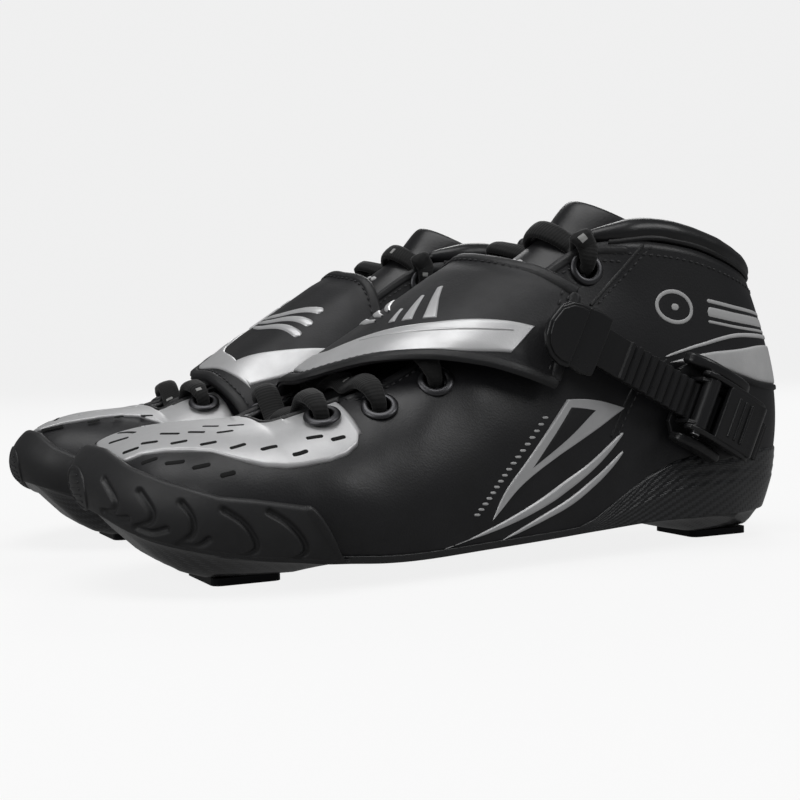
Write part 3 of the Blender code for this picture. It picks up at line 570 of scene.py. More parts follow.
def math_node(tree, operation, a, b=None):
    """The result of a maths node on one or two values."""
    inputs = {"i0": a} if b is None else {"i0": a, "i1": b}
    return node(tree, "ShaderNodeMath", {"operation": operation}, **inputs).outputs[0]


def spread(tree, value, low, high, out_low=0.0, out_high=1.0):
    """A value stretched from one range to another."""
    return node(tree, "ShaderNodeMapRange", None, Value=value, From_Min=low, From_Max=high,
                To_Min=out_low, To_Max=out_high).outputs[0]


def grain_group():
    """Leather grain: fine pebbles with soft creases, and slow patches of wear."""
    tree, entry, leave, calc = group("grain", ("Height", "Patches"), [("Scale", 1.0)])
    where = node(tree, "ShaderNodeTexCoord").outputs["Object"]
    fine = calc("MULTIPLY", entry["Scale"], 1500.0)
    pebbles = node(tree, "ShaderNodeTexVoronoi", {"feature": "SMOOTH_F1"}, Vector=where,
                   Scale=fine, Smoothness=0.6).outputs["Distance"]
    cloudy = node(tree, "ShaderNodeTexNoise", None, Vector=where, Scale=260.0, Detail=4.0,
                  Roughness=0.6).outputs[0]
    slow = node(tree, "ShaderNodeTexNoise", None, Vector=where, Scale=38.0, Detail=5.0,
                Roughness=0.65).outputs[0]
    height = calc("ADD", calc("MULTIPLY", pebbles, 0.6), calc("MULTIPLY", cloudy, 0.6))
    tree.links.new(height, leave["Height"])
    tree.links.new(spread(tree, slow, 0.35, 0.68), leave["Patches"])
    return tree


def twill_group():
    """Two-by-two twill: which tow is on top, and how it swells; Size is a tow in mm."""
    tree, entry, leave, calc = group("twill", ("Tow", "Height"), [("Size", 2.0)])
    uv = node(tree, "ShaderNodeUVMap", {"uv_map": "UVMap"}).outputs[0]
    parts = node(tree, "ShaderNodeSeparateXYZ", None, Vector=uv)
    pitch = calc("DIVIDE", 1000.0, entry["Size"])
    x, y = (calc("MULTIPLY", parts.outputs[axis], pitch) for axis in (0, 1))
    step = calc("SUBTRACT", calc("FLOOR", x), calc("FLOOR", y))
    tow = calc("LESS_THAN", calc("FLOORED_MODULO", step, 4.0), 1.5)
    ways = []
    for share in (x, y):
        away = calc("SUBTRACT", calc("FRACT", share), 0.5)
        ways.append(calc("SUBTRACT", 1.0, calc("MULTIPLY", calc("MULTIPLY", away, away), 4.0)))
    swell = node(tree, "ShaderNodeMix", {"data_type": "FLOAT"}, Factor=tow, A=ways[0],
                 B=ways[1]).outputs[0]
    tree.links.new(tow, leave["Tow"])
    tree.links.new(swell, leave["Height"])
    return tree


def braid_group():
    """Flat woven lace: slanted ribs crossing in the middle, and pale flecks."""
    tree, _, leave, calc = group("braid", ("Height", "Flecks"))
    uv = node(tree, "ShaderNodeUVMap", {"uv_map": "UVMap"}).outputs[0]
    parts = node(tree, "ShaderNodeSeparateXYZ", None, Vector=uv)
    length, across = parts.outputs[0], parts.outputs[1]
    side = calc("ABSOLUTE", calc("SUBTRACT", across, 0.5))
    slanted = calc("ADD", calc("MULTIPLY", length, 900.0), calc("MULTIPLY", side, 3.0))
    ribs = calc("SINE", calc("MULTIPLY", slanted, 2 * math.pi))
    cross = calc("SINE", calc("MULTIPLY", across, 50.0))
    height = calc("ADD", calc("MULTIPLY", ribs, 0.5), calc("MULTIPLY", cross, 0.4))
    beat = calc("LESS_THAN", calc("FRACT", calc("MULTIPLY", length, 23.0)), 0.03)
    stripe = calc("LESS_THAN", calc("ABSOLUTE", calc("SUBTRACT", side, 0.22)), 0.05)
    tree.links.new(height, leave["Height"])
    tree.links.new(calc("MULTIPLY", beat, stripe), leave["Flecks"])
    return tree


def fabric_group():
    """Fine plain weave with a little fluff."""
    tree, _, leave, calc = group("fabric", ("Height", "Shade"))
    where = node(tree, "ShaderNodeTexCoord").outputs["Object"]
    weave = node(tree, "ShaderNodeTexVoronoi", None, Vector=where, Scale=900.0,
                 Randomness=0.35).outputs["Distance"]
    fluff = node(tree, "ShaderNodeTexNoise", None, Vector=where, Scale=700.0,
                 Detail=3.0).outputs[0]
    tree.links.new(calc("ADD", weave, fluff), leave["Height"])
    tree.links.new(spread(tree, fluff, 0.3, 0.7), leave["Shade"])
    return tree


GRAIN, TWILL, BRAID, FABRIC = grain_group(), twill_group(), braid_group(), fabric_group()


# ---------------------------------------------------------------- materials
def surface(name, color, roughness, metallic=0.0, coat=0.0, coat_roughness=0.1, sheen=0.0):
    """A material with its surface shader, ready for textures."""
    made = bpy.data.materials.new(name)
    made.use_nodes = True
    tree = made.node_tree
    shader = tree.nodes["Principled BSDF"]
    values = {"Base Color": (*color, 1), "Roughness": roughness, "Metallic": metallic,
              "Coat Weight": coat, "Coat Roughness": coat_roughness, "Sheen Weight": sheen}
    for key, value in values.items():
        shader.inputs[key].default_value = value
    made.diffuse_color = (*color, 1)
    return made, tree, shader


def use(tree, texture, **inputs):
    """A texture group's node in a material."""
    made = tree.nodes.new("ShaderNodeGroup")
    made.node_tree = texture
    for key, value in inputs.items():
        made.inputs[key].default_value = value
    return made


def shade(tree, shader, factor, dark, light):
    """Mixes the base colour between two."""
    mix = node(tree, "ShaderNodeMix", {"data_type": "RGBA"}, Factor=factor)
    mix.inputs["A"].default_value = (*dark, 1)
    mix.inputs["B"].default_value = (*light, 1)
    tree.links.new(mix.outputs["Result"], shader.inputs["Base Color"])


def bump(tree, shader, height, strength, distance=0.0002):
    """Relief from a height; distance in metres."""
    made = node(tree, "ShaderNodeBump", None, Height=height, Strength=strength,
                Distance=distance)
    tree.links.new(made.outputs[0], shader.inputs["Normal"])


def leather(name, dark, light, roughness, strength=0.25, scale=1.0, metallic=0.0):
    """Grained material with slow patches of wear, for leather, rubber and moulded parts."""
    made, tree, shader = surface(name, dark, roughness, metallic, coat_roughness=0.25)
    grain = use(tree, GRAIN, Scale=scale)
    shade(tree, shader, grain.outputs["Patches"], dark, light)
    tree.links.new(spread(tree, grain.outputs["Patches"], 0, 1, roughness + 0.06,
                          roughness - 0.05), shader.inputs["Roughness"])
    bump(tree, shader, grain.outputs["Height"], strength)
    return made


def carbon_fibre():
    """Woven carbon under clear resin."""
    made, tree, shader = surface("carbon", (0.012, 0.012, 0.013), 0.36, coat=0.45,
                                 coat_roughness=0.08)
    twill = use(tree, TWILL, Size=1.5)
    shade(tree, shader, twill.outputs["Tow"], (0.005, 0.005, 0.006), (0.026, 0.027, 0.029))
    bump(tree, shader, twill.outputs["Height"], 0.35, 0.0002)
    return made


def woven_lace():
    """Black flat lace with pale flecks."""
    made, tree, shader = surface("lace", (0.006, 0.006, 0.006), 0.85, sheen=0.15)
    braid = use(tree, BRAID)
    shade(tree, shader, braid.outputs["Flecks"], (0.006, 0.006, 0.006), (0.40, 0.40, 0.39))
    bump(tree, shader, braid.outputs["Height"], 0.3, 0.0003)
    return made


def lining_fabric(name, color):
    """Soft woven lining."""
    made, tree, shader = surface(name, color, 0.9, sheen=0.3)
    fabric = use(tree, FABRIC)
    shade(tree, shader, fabric.outputs["Shade"], color, tuple(c * 1.6 for c in color))
    bump(tree, shader, fabric.outputs["Height"], 0.5)
    return made


BLACK_LEATHER = leather("black_leather", (0.011, 0.011, 0.012), (0.020, 0.020, 0.022), 0.42)
STRAP_LEATHER = leather("strap_leather", (0.012, 0.012, 0.013), (0.020, 0.020, 0.022), 0.54,
                        0.35, 0.8)
PADDING = leather("padding_leather", (0.011, 0.011, 0.012), (0.018, 0.018, 0.019), 0.34, 0.2,
                  0.8)
SILVER = leather("silver_leather", (0.64, 0.64, 0.645), (0.76, 0.76, 0.765), 0.38, 0.12, 1.2,
                 metallic=0.35)
PALE_BAND = leather("pale_band", (0.60, 0.60, 0.60), (0.74, 0.74, 0.74), 0.5, 0.2, 1.0)
RUBBER = leather("rubber", (0.020, 0.020, 0.021), (0.030, 0.030, 0.031), 0.5, 0.12, 0.6)
BINDING = leather("binding", (0.010, 0.010, 0.011), (0.020, 0.020, 0.021), 0.5, 0.4, 0.7)
MOULDED = leather("moulded_nylon", (0.012, 0.012, 0.013), (0.018, 0.018, 0.019), 0.3, 0.05, 1)
CARBON = carbon_fibre()
LACE = woven_lace()
LINING = lining_fabric("lining_fabric", (0.014, 0.014, 0.015))
INSOLE = lining_fabric("insole_fabric", (0.03, 0.03, 0.031))
STEEL = surface("steel", (0.45, 0.45, 0.46), 0.28, 1.0)[0]
# Near-black metal for the blade mounts: painted shade, as dark as the shaded underside of the
# sole
SHADE_DARK_ALLOY = surface("shade_dark_alloy", (0.025, 0.025, 0.027), 0.4, 1.0)[0]
GUNMETAL = surface("gunmetal", (0.10, 0.10, 0.105), 0.4, 1.0)[0]
THREAD = surface("thread", (0.05, 0.05, 0.052), 0.7)[0]
# Grey thread: real stitches whose grey colour paints the pale highlights on the strap's braided
# edge
EDGE_HIGHLIGHT_THREAD = surface("edge_highlight_thread", (0.16, 0.16, 0.165), 0.6)[0]
PRINT = surface("pale_print", (0.62, 0.62, 0.62), 0.5)[0]
# Near-black colour for the slots: painted shade inside each slot
SLOT_SHADE = surface("hole_shadow", (0.004, 0.004, 0.004), 0.9)[0]


# ---------------------------------------------------------------- boot pieces
def eyelet_places():
    """Name, place, height parameter and panel lift of every eyelet."""
    found = []
    for index, (place, back) in enumerate(zip(LACE_ROWS, EYELET_SET_BACK)):
        lift = 2.7 if index == 0 else 0.7
        for side, at in (("outer", place), ("inner", ROUND - place)):
            found.append((f"eyelet_{side}_{index + 1}", at, set_back(at, back), lift))
    return found


def punch(bm, radius=4.8):
    """Cuts the eyelet holes through a wall by deleting the faces inside each ring."""
    for _, place, height, _ in eyelet_places():
        middle = skin(place, height)
        out = skin_normal(place, height)
        near = []
        for face in bm.faces:
            gap = face.calc_center_median() - middle
            if gap.length < radius + 3 and (gap - out * gap.dot(out)).length < radius - 1.2:
                near.append(face)
        bmesh.ops.delete(bm, geom=near, context="FACES")
    return bm


def make_upper():
    """Leather upper, tucked a little inside the shell's rim."""
    def point(a, b):
        place = a * ROUND
        low = max(0.0, rim_height(place) - 0.05)
        return off_leather(place, low + (1 - low) * b, 0)

    bm = weld(drape(point, 306, 34, (0.75, 0.1)))
    pair("upper", punch(bm), BLACK_LEATHER, ["upper"], finish=wall(2.0))


def make_shell():
    """Carbon sole and heel cup, a little proud of the leather above it."""
    def terrace(place, height):
        """Layers of the laminate stepping down towards the sole at the heel."""
        back = ease((skin(place, 0.2).y - 30) / 25)
        rim = rim_height(place)
        share = height / rim
        steps = sum(ease((level - share) / 0.035) for level in (0.86, 0.7, 0.54))
        return 0.6 + 0.28 * back * steps

    def band(a, b):
        place = a * ROUND
        rim = rim_height(place)
        height = rim * b
        edge = ease((1 - b) / 0.05)
        return off_skin(place, max(height, 0.001), terrace(place, height) * edge)

    def under(a, b):
        place = a * LAST
        outer, inner = (off_skin(at, 0.001, terrace(at, 0)) for at in (place, ROUND - place))
        point = outer.lerp(inner, b)
        edge = min(b, 1 - b) * 2
        bottom = min(profile(KEEL, point.y), point.z)
        point.z = bottom + (point.z - bottom) * (1 - ease(edge / 0.62))
        return point

    whole = merged(drape(band, 272, 26, (0.68, 0.05)), drape(under, 136, 28, (0.27, 0.09)))
    weld(whole, 0.02)
    outward(whole, lambda face: -face.normal.z * (face.calc_center_median().z < 8))
    pair("shell", whole, CARBON, ["shell"], finish=wall(1.8))


def guard_top(place):
    """Height parameter of the guard's upper edge."""
    return height_at(place, profile(GUARD_TOP, skin(place, 0.3).y))


# Grooves pressed into the outer side of the toe guard (line, height parameter)
GUARD_GROOVES = [
    [(1.42, .360), (1.64, .285), (1.70, .235), (1.58, .170), (1.26, .130)],
    [(1.26, .130), (1.56, .125), (1.90, .160)],
    [(2.20, .335), (2.33, .268), (2.38, .215), (2.30, .165), (2.02, .115)],
    [(2.02, .115), (2.28, .104), (2.56, .140)],
    [(2.88, .293), (2.99, .240), (3.02, .180), (2.94, .120), (2.68, .058)],
    [(2.68, .058), (3.00, .064), (3.22, .115)],
    [(3.54, .275), (3.82, .215), (3.98, .125), (3.92, .068), (3.60, .034), (3.28, .024)],
    [(4.34, .272), (4.74, .200), (5.08, .105), (4.96, .055), (4.45, .026), (4.02, .018)],
]


def make_toe_guard():
    """Moulded rubber guard round the toes, with pressed grooves and a raised rear ridge."""
    walls = []
    for path in GUARD_GROOVES:
        line = [skin(*through(path, k / 60).to_2d()) for k in range(61)]
        walls.append((min(p[0] for p in path) - 0.35, max(p[0] for p in path) + 0.35, line))
    ridge = [skin(*through([(5.6, .30), (6.1, .19), (6.85, .05)], k / 50).to_2d())
             for k in range(51)]

    def groove_gap(place, spot):
        """Distance to the nearest groove, with those far away left out."""
        gaps = [min((spot - q).length for q in line) for low, high, line in walls
                if low < place < high]
        return min(gaps, default=9.0)

    def point(a, b):
        place = (a * 2 - 1) * GUARD_SPAN
        low = max(0.0, rim_height(place) * 0.4 + 0.005)
        high = guard_top(place)
        slope = 1 - ease((abs(place) - 5.45) / 1.45)
        high = low + (high - low) * max(0.04, slope)
        height = low + (high - low) * b
        spot = skin(place, height)
        length = (skin(place, high) - skin(place, low)).length
        rise = GUARD_LIFT * pillow(a, b, 300, max(length, 0.5), 2.2)
        if place > 0.9 or place < -1.2:
            outer = place > 0
            gap = groove_gap(abs(place), spot if outer else Vector((-spot.x, spot.y, spot.z - 3)))
            depth = 1.25 if outer else 1.2
            rise -= depth * (1 - ease((gap - 0.2) / 1.3)) * min(1, rise / 2)
        if place > 5.3:
            rise += 1.3 * (1 - ease((min((spot - q).length for q in ridge) - 0.8) / 2.0))
        return spot + skin_normal(place, height) * rise

    bm = weld(drape(point, 500, 72, (0.26, 0.05)), 0.003)
    pair("toe_bumper", bm, RUBBER, ["toe_bumper"], finish=wall(0.5))


def make_toe_badge():
    """Oval badge with five plain ribs, low on the front of the guard."""
    def above(place, height, distance):
        return off_skin(place, height, GUARD_LIFT - 0.1 + distance)

    middle, level = 0.32, 0.235
    marks = [stroke(above, oval(middle, level, 0.5, 0.165), 1.3, 0.6, segments=72,
                    taper=lambda a: 1)]
    for k in range(5):
        height = 0.135 + 0.05 * k
        reach = 0.30 * math.sqrt(max(0.1, 1 - ((height - level) / 0.15) ** 2))
        rib = [(middle - reach, height - 0.008), (middle + reach, height + 0.008)]
        marks.append(stroke(above, rib, 1.2, 0.45, segments=12))
    pair("toe_badge", merged(*marks), RUBBER)


def cap_low(place):
    """Height parameter of the silver panel's lower edge."""
    return height_at(place, profile(CAP_OUTER if place >= 0 else CAP_INNER, abs(place)))


def make_toe_cap():
    """Silver vamp panel over the toes, with a wing round the first eyelet on each side."""
    def point(a, b):
        place = (a * 2 - 1) * CAP_SPAN
        low = cap_low(place)
        high = 1.0 if abs(place) <= 5.6 else 0.985
        height = low + (high - low) * b
        length = (skin(place, high) - skin(place, low)).length
        edge = min(b * length, (CAP_SPAN - abs(place)) * 14)
        if abs(place) > 5.6:
            edge = min(edge, (1 - b) * length)
        edge = min(1.0, max(0.0, edge))
        rise = -0.2 + (PANEL_LIFT + 0.2) * math.sqrt(1 - (1 - edge) ** 2)
        spot = off_skin(place, height, rise)
        if 4.5 < abs(place) < 6.6 and b > 0.75:
            spot.z += 0.5 * ease((b - 0.75) * 4)
        return spot

    bm = drape(point, 240, 30, (0.25, 0.06))
    pair("toe_cap", punch(weld(bm)), SILVER, ["toe_cap"], finish=wall(0.5))


def make_eyelets():
    """Rolled metal rings through the leather."""
    outline = [(3.6, -3.2), (3.6, 0.1), (3.75, 0.55), (4.15, 0.85), (4.8, 0.9), (5.5, 0.72),
               (6.05, 0.4), (6.25, 0.0), (6.25, -0.3)]
    for name, place, height, lift in eyelet_places():
        bm = blank()
        points = [bm.verts.new((r, 0, z)) for r, z in outline]
        edges = [bm.edges.new(ends) for ends in zip(points, points[1:])]
        bmesh.ops.spin(bm, geom=points + edges, cent=(0, 0, 0), axis=(0, 0, 1),
                       angle=2 * math.pi, steps=40, use_merge=True)
        outward(weld(bm, 0.001), lambda face: face.normal.z * (face.calc_center_median().z > 0.9))
        out = skin_normal(place, height)
        shift = Matrix.Translation(off_skin(place, height, lift - 0.3))
        bmesh.ops.transform(bm, matrix=shift @ out.to_track_quat("Z", "Y").to_matrix()
                            .to_4x4(), verts=bm.verts)
        pair(name, bm, GUNMETAL, [name])


def collar_frame(place):
    """Top edge of the upper, the level way out of it, and how far the collar sinks there."""
    out = skin_normal(place, 0.93)
    out.z = 0
    return skin(place, 1.0), out.normalized(), 2.0 * ease((abs(place - LAST) - 3.4) / 0.9)


def collar_place(share):
    """Place along the collar, and how many lines it is from the nearer end."""
    place = COLLAR_START + (COLLAR_END - COLLAR_START) * share
    return place, min(place - COLLAR_START, COLLAR_END - place)


def make_collar():
    """Padded collar roll, and the sleeve below it that lines the ankle."""
    def roll(a, b):
        place, ends = collar_place(a)
        top, out, sink = collar_frame(place)
        radius = COLLAR_RADIUS * (0.5 + 0.5 * ease(ends / 0.8)) * min(1.0, math.sqrt(ends / 0.12))
        middle = top - out * COLLAR_INSET + Vector((0, 0, COLLAR_RISE))
        turn = math.radians(-100 + 285 * b)
        radius += noise.noise(middle * 0.13 + Vector((0, 0, b * 2.0))) * 0.35
        return (middle + out * math.cos(turn) * radius
                + Vector((0, 0, math.sin(turn) * radius - sink)))

    def sleeve(a, b):
        place, ends = collar_place(a)
        top, out, sink = collar_frame(place)
        depth = 5.2 + 2.2 * ease(ends / 1.7)
        lip = top - out * 8.2 + Vector((0, 0, 3.6 - sink))
        low = height_at(place, 39)
        if b > 0.82:
            return off_skin(place, 0.97, -depth).lerp(lip, ease((b - 0.82) / 0.18))
        height = low + (0.97 - low) * b / 0.82
        swell = 0.6 * math.sin(math.pi * b / 0.82)
        return off_skin(place, height, -depth - swell)

    made = pair("collar_roll", weld(drape(roll, 150, 18, (0.3, 0.025))), PADDING,
                ["collar_lining"])
    lining = pair("collar_sleeve", weld(drape(sleeve, 120, 26, (0.3, 0.07))), LINING,
                  ["collar_lining"], finish=wall(1.2))

    def off_roll(place, turn, distance):
        """Point off the roll, at a turn in degrees from level."""
        top, out, sink = collar_frame(place)
        middle = top - out * COLLAR_INSET + Vector((0, 0, COLLAR_RISE - sink))
        angle = math.radians(turn)
        reach = COLLAR_RADIUS + distance
        return middle + out * math.cos(angle) * reach + Vector((0, 0, math.sin(angle) * reach))

    def along(margin, level):
        length = COLLAR_END - COLLAR_START - 2 * margin
        return [(COLLAR_START + margin + length * k / 20, level) for k in range(21)]

    pair("collar_piping", stroke(off_roll, along(0.35, -38), 1.9, 0.75, segments=200), BINDING)
    pair("collar_stitches", stitches(off_leather, along(0.4, 0.955), 3.0), THREAD)


def make_tongue():
    """Padded tongue, domed up the instep and curled round the shin."""
    def point(a, b):
        turn = 2 * math.pi * b
        s = math.cos(turn)
        s = math.copysign(abs(s) ** 0.85, s)
        y, *_, thick = through_row(TONGUE, a)
        edge = (1 - abs(s) ** 6) ** 0.5 if abs(s) < 1 else 0.0
        top = tongue_point(a, s)
        under = (tongue_point(a, s, 1.0) - top).normalized()
        fullness = ease(a * 9) * math.sqrt(max(0.0, 1 - max(0.0, (a - 0.93) / 0.07) ** 2))
        lump = noise.noise(Vector((s * 1.6, y * 0.06, 3))) * 0.35 * fullness
        rise = thick * 0.5 * edge * (0.25 + 0.75 * fullness) + lump * edge
        return top + under * (thick * 0.5 + (-rise if math.sin(turn) >= 0 else rise))

    bm = close_ends(weld(drape(point, 110, 64, (0.2, 0.1))), 200)
    for piece in pair("tongue", bm, PADDING, ["tongue"]):
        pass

    marks = []
    for row in range(2):
        for step in range(5):
            t, across = 0.722 + row * 0.026, -0.30 + step * 0.20 + row * 0.06
            marks.append(stroke(off_tongue, [(t, across), (t + 0.004, across + 0.12)], 3.0,
                                0.4, segments=6))
    pair("tongue_label", merged(*marks), PRINT)


def make_footbed():
    """Insole, dished across the foot and clear of the upper all round."""
    gap = 7.0

    def point(a, b):
        place = 1.6 + (LAST - 3.2) * a
        outer, inner = skin(place, 0.0), skin(ROUND - place, 0.0)
        width = (outer - inner).length
        spot = outer.lerp(inner, gap / width + (1 - 2 * gap / width) * b)
        spot.z = max(outer.z, inner.z) + 6.2 + 1.5 * abs(b * 2 - 1) ** 3
        return spot

    bm = outward(weld(drape(point, 80, 20, (0.25, 0.08))), lambda face: face.normal.z)
    for piece in pair("footbed", bm, INSOLE, ["footbed"], finish=wall(2.8)):
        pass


# ---------------------------------------------------------------- laces
def instep_up(y):
    """Direction straight up from the slope of the tongue."""
    before, after = (profile([row[:2] for row in TONGUE], y + step) for step in (-4, 4))
    return Vector((0, (before - after) / 8, 1)).normalized()


def lace_route():
    """Bar lacing: (point, outward direction, width) along the whole lace."""
    rows = {}
    for name, place, height, lift in eyelet_places():
        rows[name] = (skin(place, height), skin_normal(place, height), skin(place, 1.0), lift)

    def dive(name, inward):
        """From over the throat's edge down through an eyelet, or the other way."""
        middle, out, rim, lift = rows[name]
        lean = rim - middle
        lean = (lean - out * lean.dot(out)).normalized()
        facing = (out + instep_up(rim.y)).normalized()
        rise = 2.6 if not name.endswith("_5") else 5.0
        steps = [(rim + facing * (lift + rise), facing, 8.8),
                 (middle + out * (lift + 3.0) + lean * 7.2, out, 8.4),
                 (middle + out * (lift + 2.7) + lean * 3.6, out, 7.2),
                 (middle + out * (lift + 0.9) + lean * 0.8, (out - lean * 0.8).normalized(), 5.8),
                 (middle - out * 2.4 - lean * 0.2, -lean, 5.4),
                 (middle - out * 4.6 - lean * 1.2, -lean, 5.4)]
        return steps if inward else list(reversed(steps))

    first = rows["eyelet_outer_1"]
    route = [(first[0] - first[1] * 7.0 + Vector((3, -12, -2)), first[1], 5.4)]
    side = "outer"
    for index in range(1, 6):
        other = "inner" if side == "outer" else "outer"
        start, end = f"eyelet_{side}_{index}", f"eyelet_{other}_{index}"
        route += dive(start, False)
        a, b = rows[start][2], rows[end][2]
        for share in (0.22, 0.36, 0.5, 0.64, 0.78):
            middle = a.lerp(b, share)
            t = profile([(row[0], k / (len(TONGUE) - 1)) for k, row in enumerate(TONGUE)],
                        middle.y)
            half = through_row(TONGUE, t)[2]
            across = max(-0.8, min(0.8, middle.x / half))
            spot = off_tongue(t, across, 2.3 if index < 5 else 3.4)
            spot.x = middle.x
            route.append((spot, (spot - off_tongue(t, across, 0)).normalized(), 9.0))
        route += dive(end, True)
        side = other
    last = rows[f"eyelet_{side}_5"]
    route.append((last[0] - last[1] * 5.6 + Vector((0, -5, -10)), last[1], 5.4))
    return route


def make_laces():
    """One flat woven lace per boot, threaded bar by bar."""
    route = lace_route()
    middles = [p for p, _, _ in route]
    count = 6 * (len(route) - 1)
    walked = [0.0]
    spots = [through(middles, k / count) for k in range(count + 1)]
    for a, b in zip(spots, spots[1:]):
        walked.append(walked[-1] + (b - a).length)

    def step_at(a):
        """The spot before a share of the lace, and how far it is to the next one."""
        at = min(max(a * count, 0.0), count - 1e-6)
        return int(at), at - int(at)

    def point(a, b):
        k, part = step_at(a)
        middle = spots[k].lerp(spots[k + 1], part)
        tangent = (spots[min(k + 2, count)] - spots[max(k - 1, 0)]).normalized()
        near = a * (len(route) - 1)
        n = min(int(near), len(route) - 2)
        up = route[n][1].lerp(route[n + 1][1], near - n)
        width = route[n][2] + (route[n + 1][2] - route[n][2]) * ease(near - n)
        up = (up - tangent * up.dot(tangent)).normalized()
        side = tangent.cross(up)
        turn = 2 * math.pi * b
        flat = math.copysign(abs(math.cos(turn)) ** 0.8, math.cos(turn))
        thick = math.copysign(abs(math.sin(turn)) ** 0.9, math.sin(turn))
        return middle + side * flat * width * 0.46 + up * thick * 1.9

    def uv(a, b):
        k, part = step_at(a)
        return (walked[k] + (walked[k + 1] - walked[k]) * part) * MM, b

    bm = close_ends(weld(drape(point, count, 16, uv=uv), 0.002), 20)
    pair("lace", bm, LACE, ["lace"])


# ---------------------------------------------------------------- instep strap
def strap_blend(side):
    """Two points on the strap, three quarters and nearly all the way along it, in the shared
    frame.
    """
    sign = 1 if side == "left" else -1

    def world(point):
        return Vector((sign * (BOOT_X + point.x), point.y, point.z)) * MM

    return world(strap_point(0.74, 0.6)), world(strap_point(0.97, 0.6))


def strap_swell(u, v):
    """How full the strap's rounded edge is, from 0 to 1, and the rise of its padding."""
    ends = min(u, 1 - u) * STRAP_LENGTH
    rim = min(v, 1 - v) * STRAP_WIDTH
    edge = min(1.0, max(0.0, min(rim, ends)) / STRAP_EDGE)
    return (math.sqrt(1 - (1 - edge) ** 2),
            0.45 * ease((rim - 5.5) / 7) * ease((ends - 4) / 12))


def on_strap(u, v, distance):
    """Point at a distance off the strap's outside."""
    full, padding = strap_swell(u, v)
    return off_strap(u, v, 1.1 + 1.5 * full + padding + distance)


def strap_trim(name, bm, material):
    """A piece that lies on the strap, fixed in place like it."""
    pair(name, bm, material, blend=strap_blend)


def make_strap():
    """Padded instep strap with its binding and stitches."""
    def closed(a, b):
        """Round the strap's section: outside, edge, inside, edge."""
        if b <= 0.5:
            return on_strap(a, b * 2, 0)
        v = 2 - b * 2
        return off_strap(a, v, 1.1 - 0.9 * strap_swell(a, v)[0])

    bm = outward(weld(drape(closed, 150, 96, (0.157, 0.15)), 0.002))
    for piece in pair("strap", bm, STRAP_LEATHER, ["strap"], blend=strap_blend):
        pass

    def across(u, low, length):
        return [(u, low + length * k / 8) for k in range(9)]

    def along(start, length, v):
        return [(start + length * k / 24, v) for k in range(25)]

    for name, v, inwards in (("front", 0.034, 0.028), ("rear", 0.966, -0.028)):
        binding = stroke(on_strap, along(0.0075, 0.985, v), 4.6, 0.75, segments=170)
        strap_trim(f"strap_{name}_binding", binding, BINDING)
        thread = stitches(on_strap, along(0.015, 0.97, v + inwards), 3.0, lift=0.35)
        strap_trim(f"strap_{name}_stitches", thread, THREAD)
    strap_trim("strap_end_binding",
               stroke(on_strap, across(0.982, 0.05, 0.9), 4.6, 0.8, segments=60), BINDING)
    for name, path in (("end", across(0.955, 0.1, 0.8)), ("corner", across(0.93, 0.62, 0.3))):
        strap_trim(f"strap_{name}_stitches", stitches(on_strap, path, 3.0, lift=0.3), THREAD)
    # Real raised stitches along the front edge, coloured grey to paint the pale highlights of the
    # braided edge
    thread = stitches(on_strap, along(0.02, 0.95, 0.016), 2.0, (1.3, 0.35, 0.3), 0.35)
    strap_trim("strap_edge_stitches", thread, EDGE_HIGHLIGHT_THREAD)


def make_strap_panels():
    """Raised silver shapes on the strap: a swoosh, three fins, a blade and three rays."""
    swoosh = panel(on_strap,
                   [(.215, .13), (.33, .085), (.45, .058), (.60, .05), (.70, .06), (.774, .09),
                    (.850, .145)],
                   [(.215, .13), (.32, .19), (.43, .24), (.54, .295), (.64, .335), (.74, .395),
                    (.882, .455)], 0.55, along=120)
    strap_trim("strap_swoosh", swoosh, SILVER)
    ridge = stroke(on_strap, [(.50, .225), (.60, .235), (.70, .265), (.83, .345)], 1.5, 0.85,
                   taper=lambda a: math.sin(math.pi * a) ** 0.4)
    strap_trim("strap_swoosh_ridge", ridge, SILVER)
    fins = (("strap_fin_1", [(.604, .375), (.585, .47), (.563, .57), (.542, .67)],
             [(.636, .38), (.611, .48), (.582, .58), (.552, .69)]),
            ("strap_fin_2", [(.555, .37), (.543, .44), (.531, .52), (.521, .60)],
             [(.580, .375), (.563, .45), (.546, .53), (.529, .61)]),
            ("strap_fin_3", [(.520, .37), (.514, .41), (.508, .45), (.504, .49)],
             [(.536, .375), (.527, .415), (.518, .455), (.510, .50)]))
    for name, low, high in fins:
        strap_trim(name, panel(on_strap, low, high, 0.5, 0.7, 50, 12), SILVER)
    blade = panel(on_strap, [(.223, .14), (.207, .34), (.198, .50), (.192, .633)],
                  [(.305, .10), (.298, .22), (.262, .40), (.222, .635)], 0.55)
    strap_trim("strap_inner_blade", blade, SILVER)

    def flare(a):
        """Thin at one end, wide and rounded at the other."""
        return (0.2 + 0.8 * a ** 0.7) * math.sqrt(max(0.0, 1 - max(0.0, (a - 0.9) / 0.1) ** 2))

    rays = (((.450, .420), (.365, .460), (.272, .515)),
            ((.452, .460), (.368, .525), (.282, .600)),
            ((.454, .500), (.372, .590), (.298, .690)))
    for k, path in enumerate(rays):
        ray = stroke(on_strap, path, 5.0, 0.5, taper=flare)
        strap_trim(f"strap_ray_{k + 1}", ray, SILVER)


# ---------------------------------------------------------------- ratchet line
def ladder_frame():
    """Frame on the ladder strap: x along it to the heel, y across it upwards, z outwards."""
    pitch = math.radians(LADDER_PITCH)
    along = Vector((0, math.cos(pitch), -math.sin(pitch)))
    across = Vector((0, math.sin(pitch), math.cos(pitch)))
    turn = Matrix((along, across, Vector((1, 0, 0)))).transposed().to_4x4()
    yaw = Matrix.Rotation(math.radians(LADDER_YAW), 4, "Z")
    return Matrix.Translation(Vector(LADDER_ORIGIN)) @ yaw @ turn


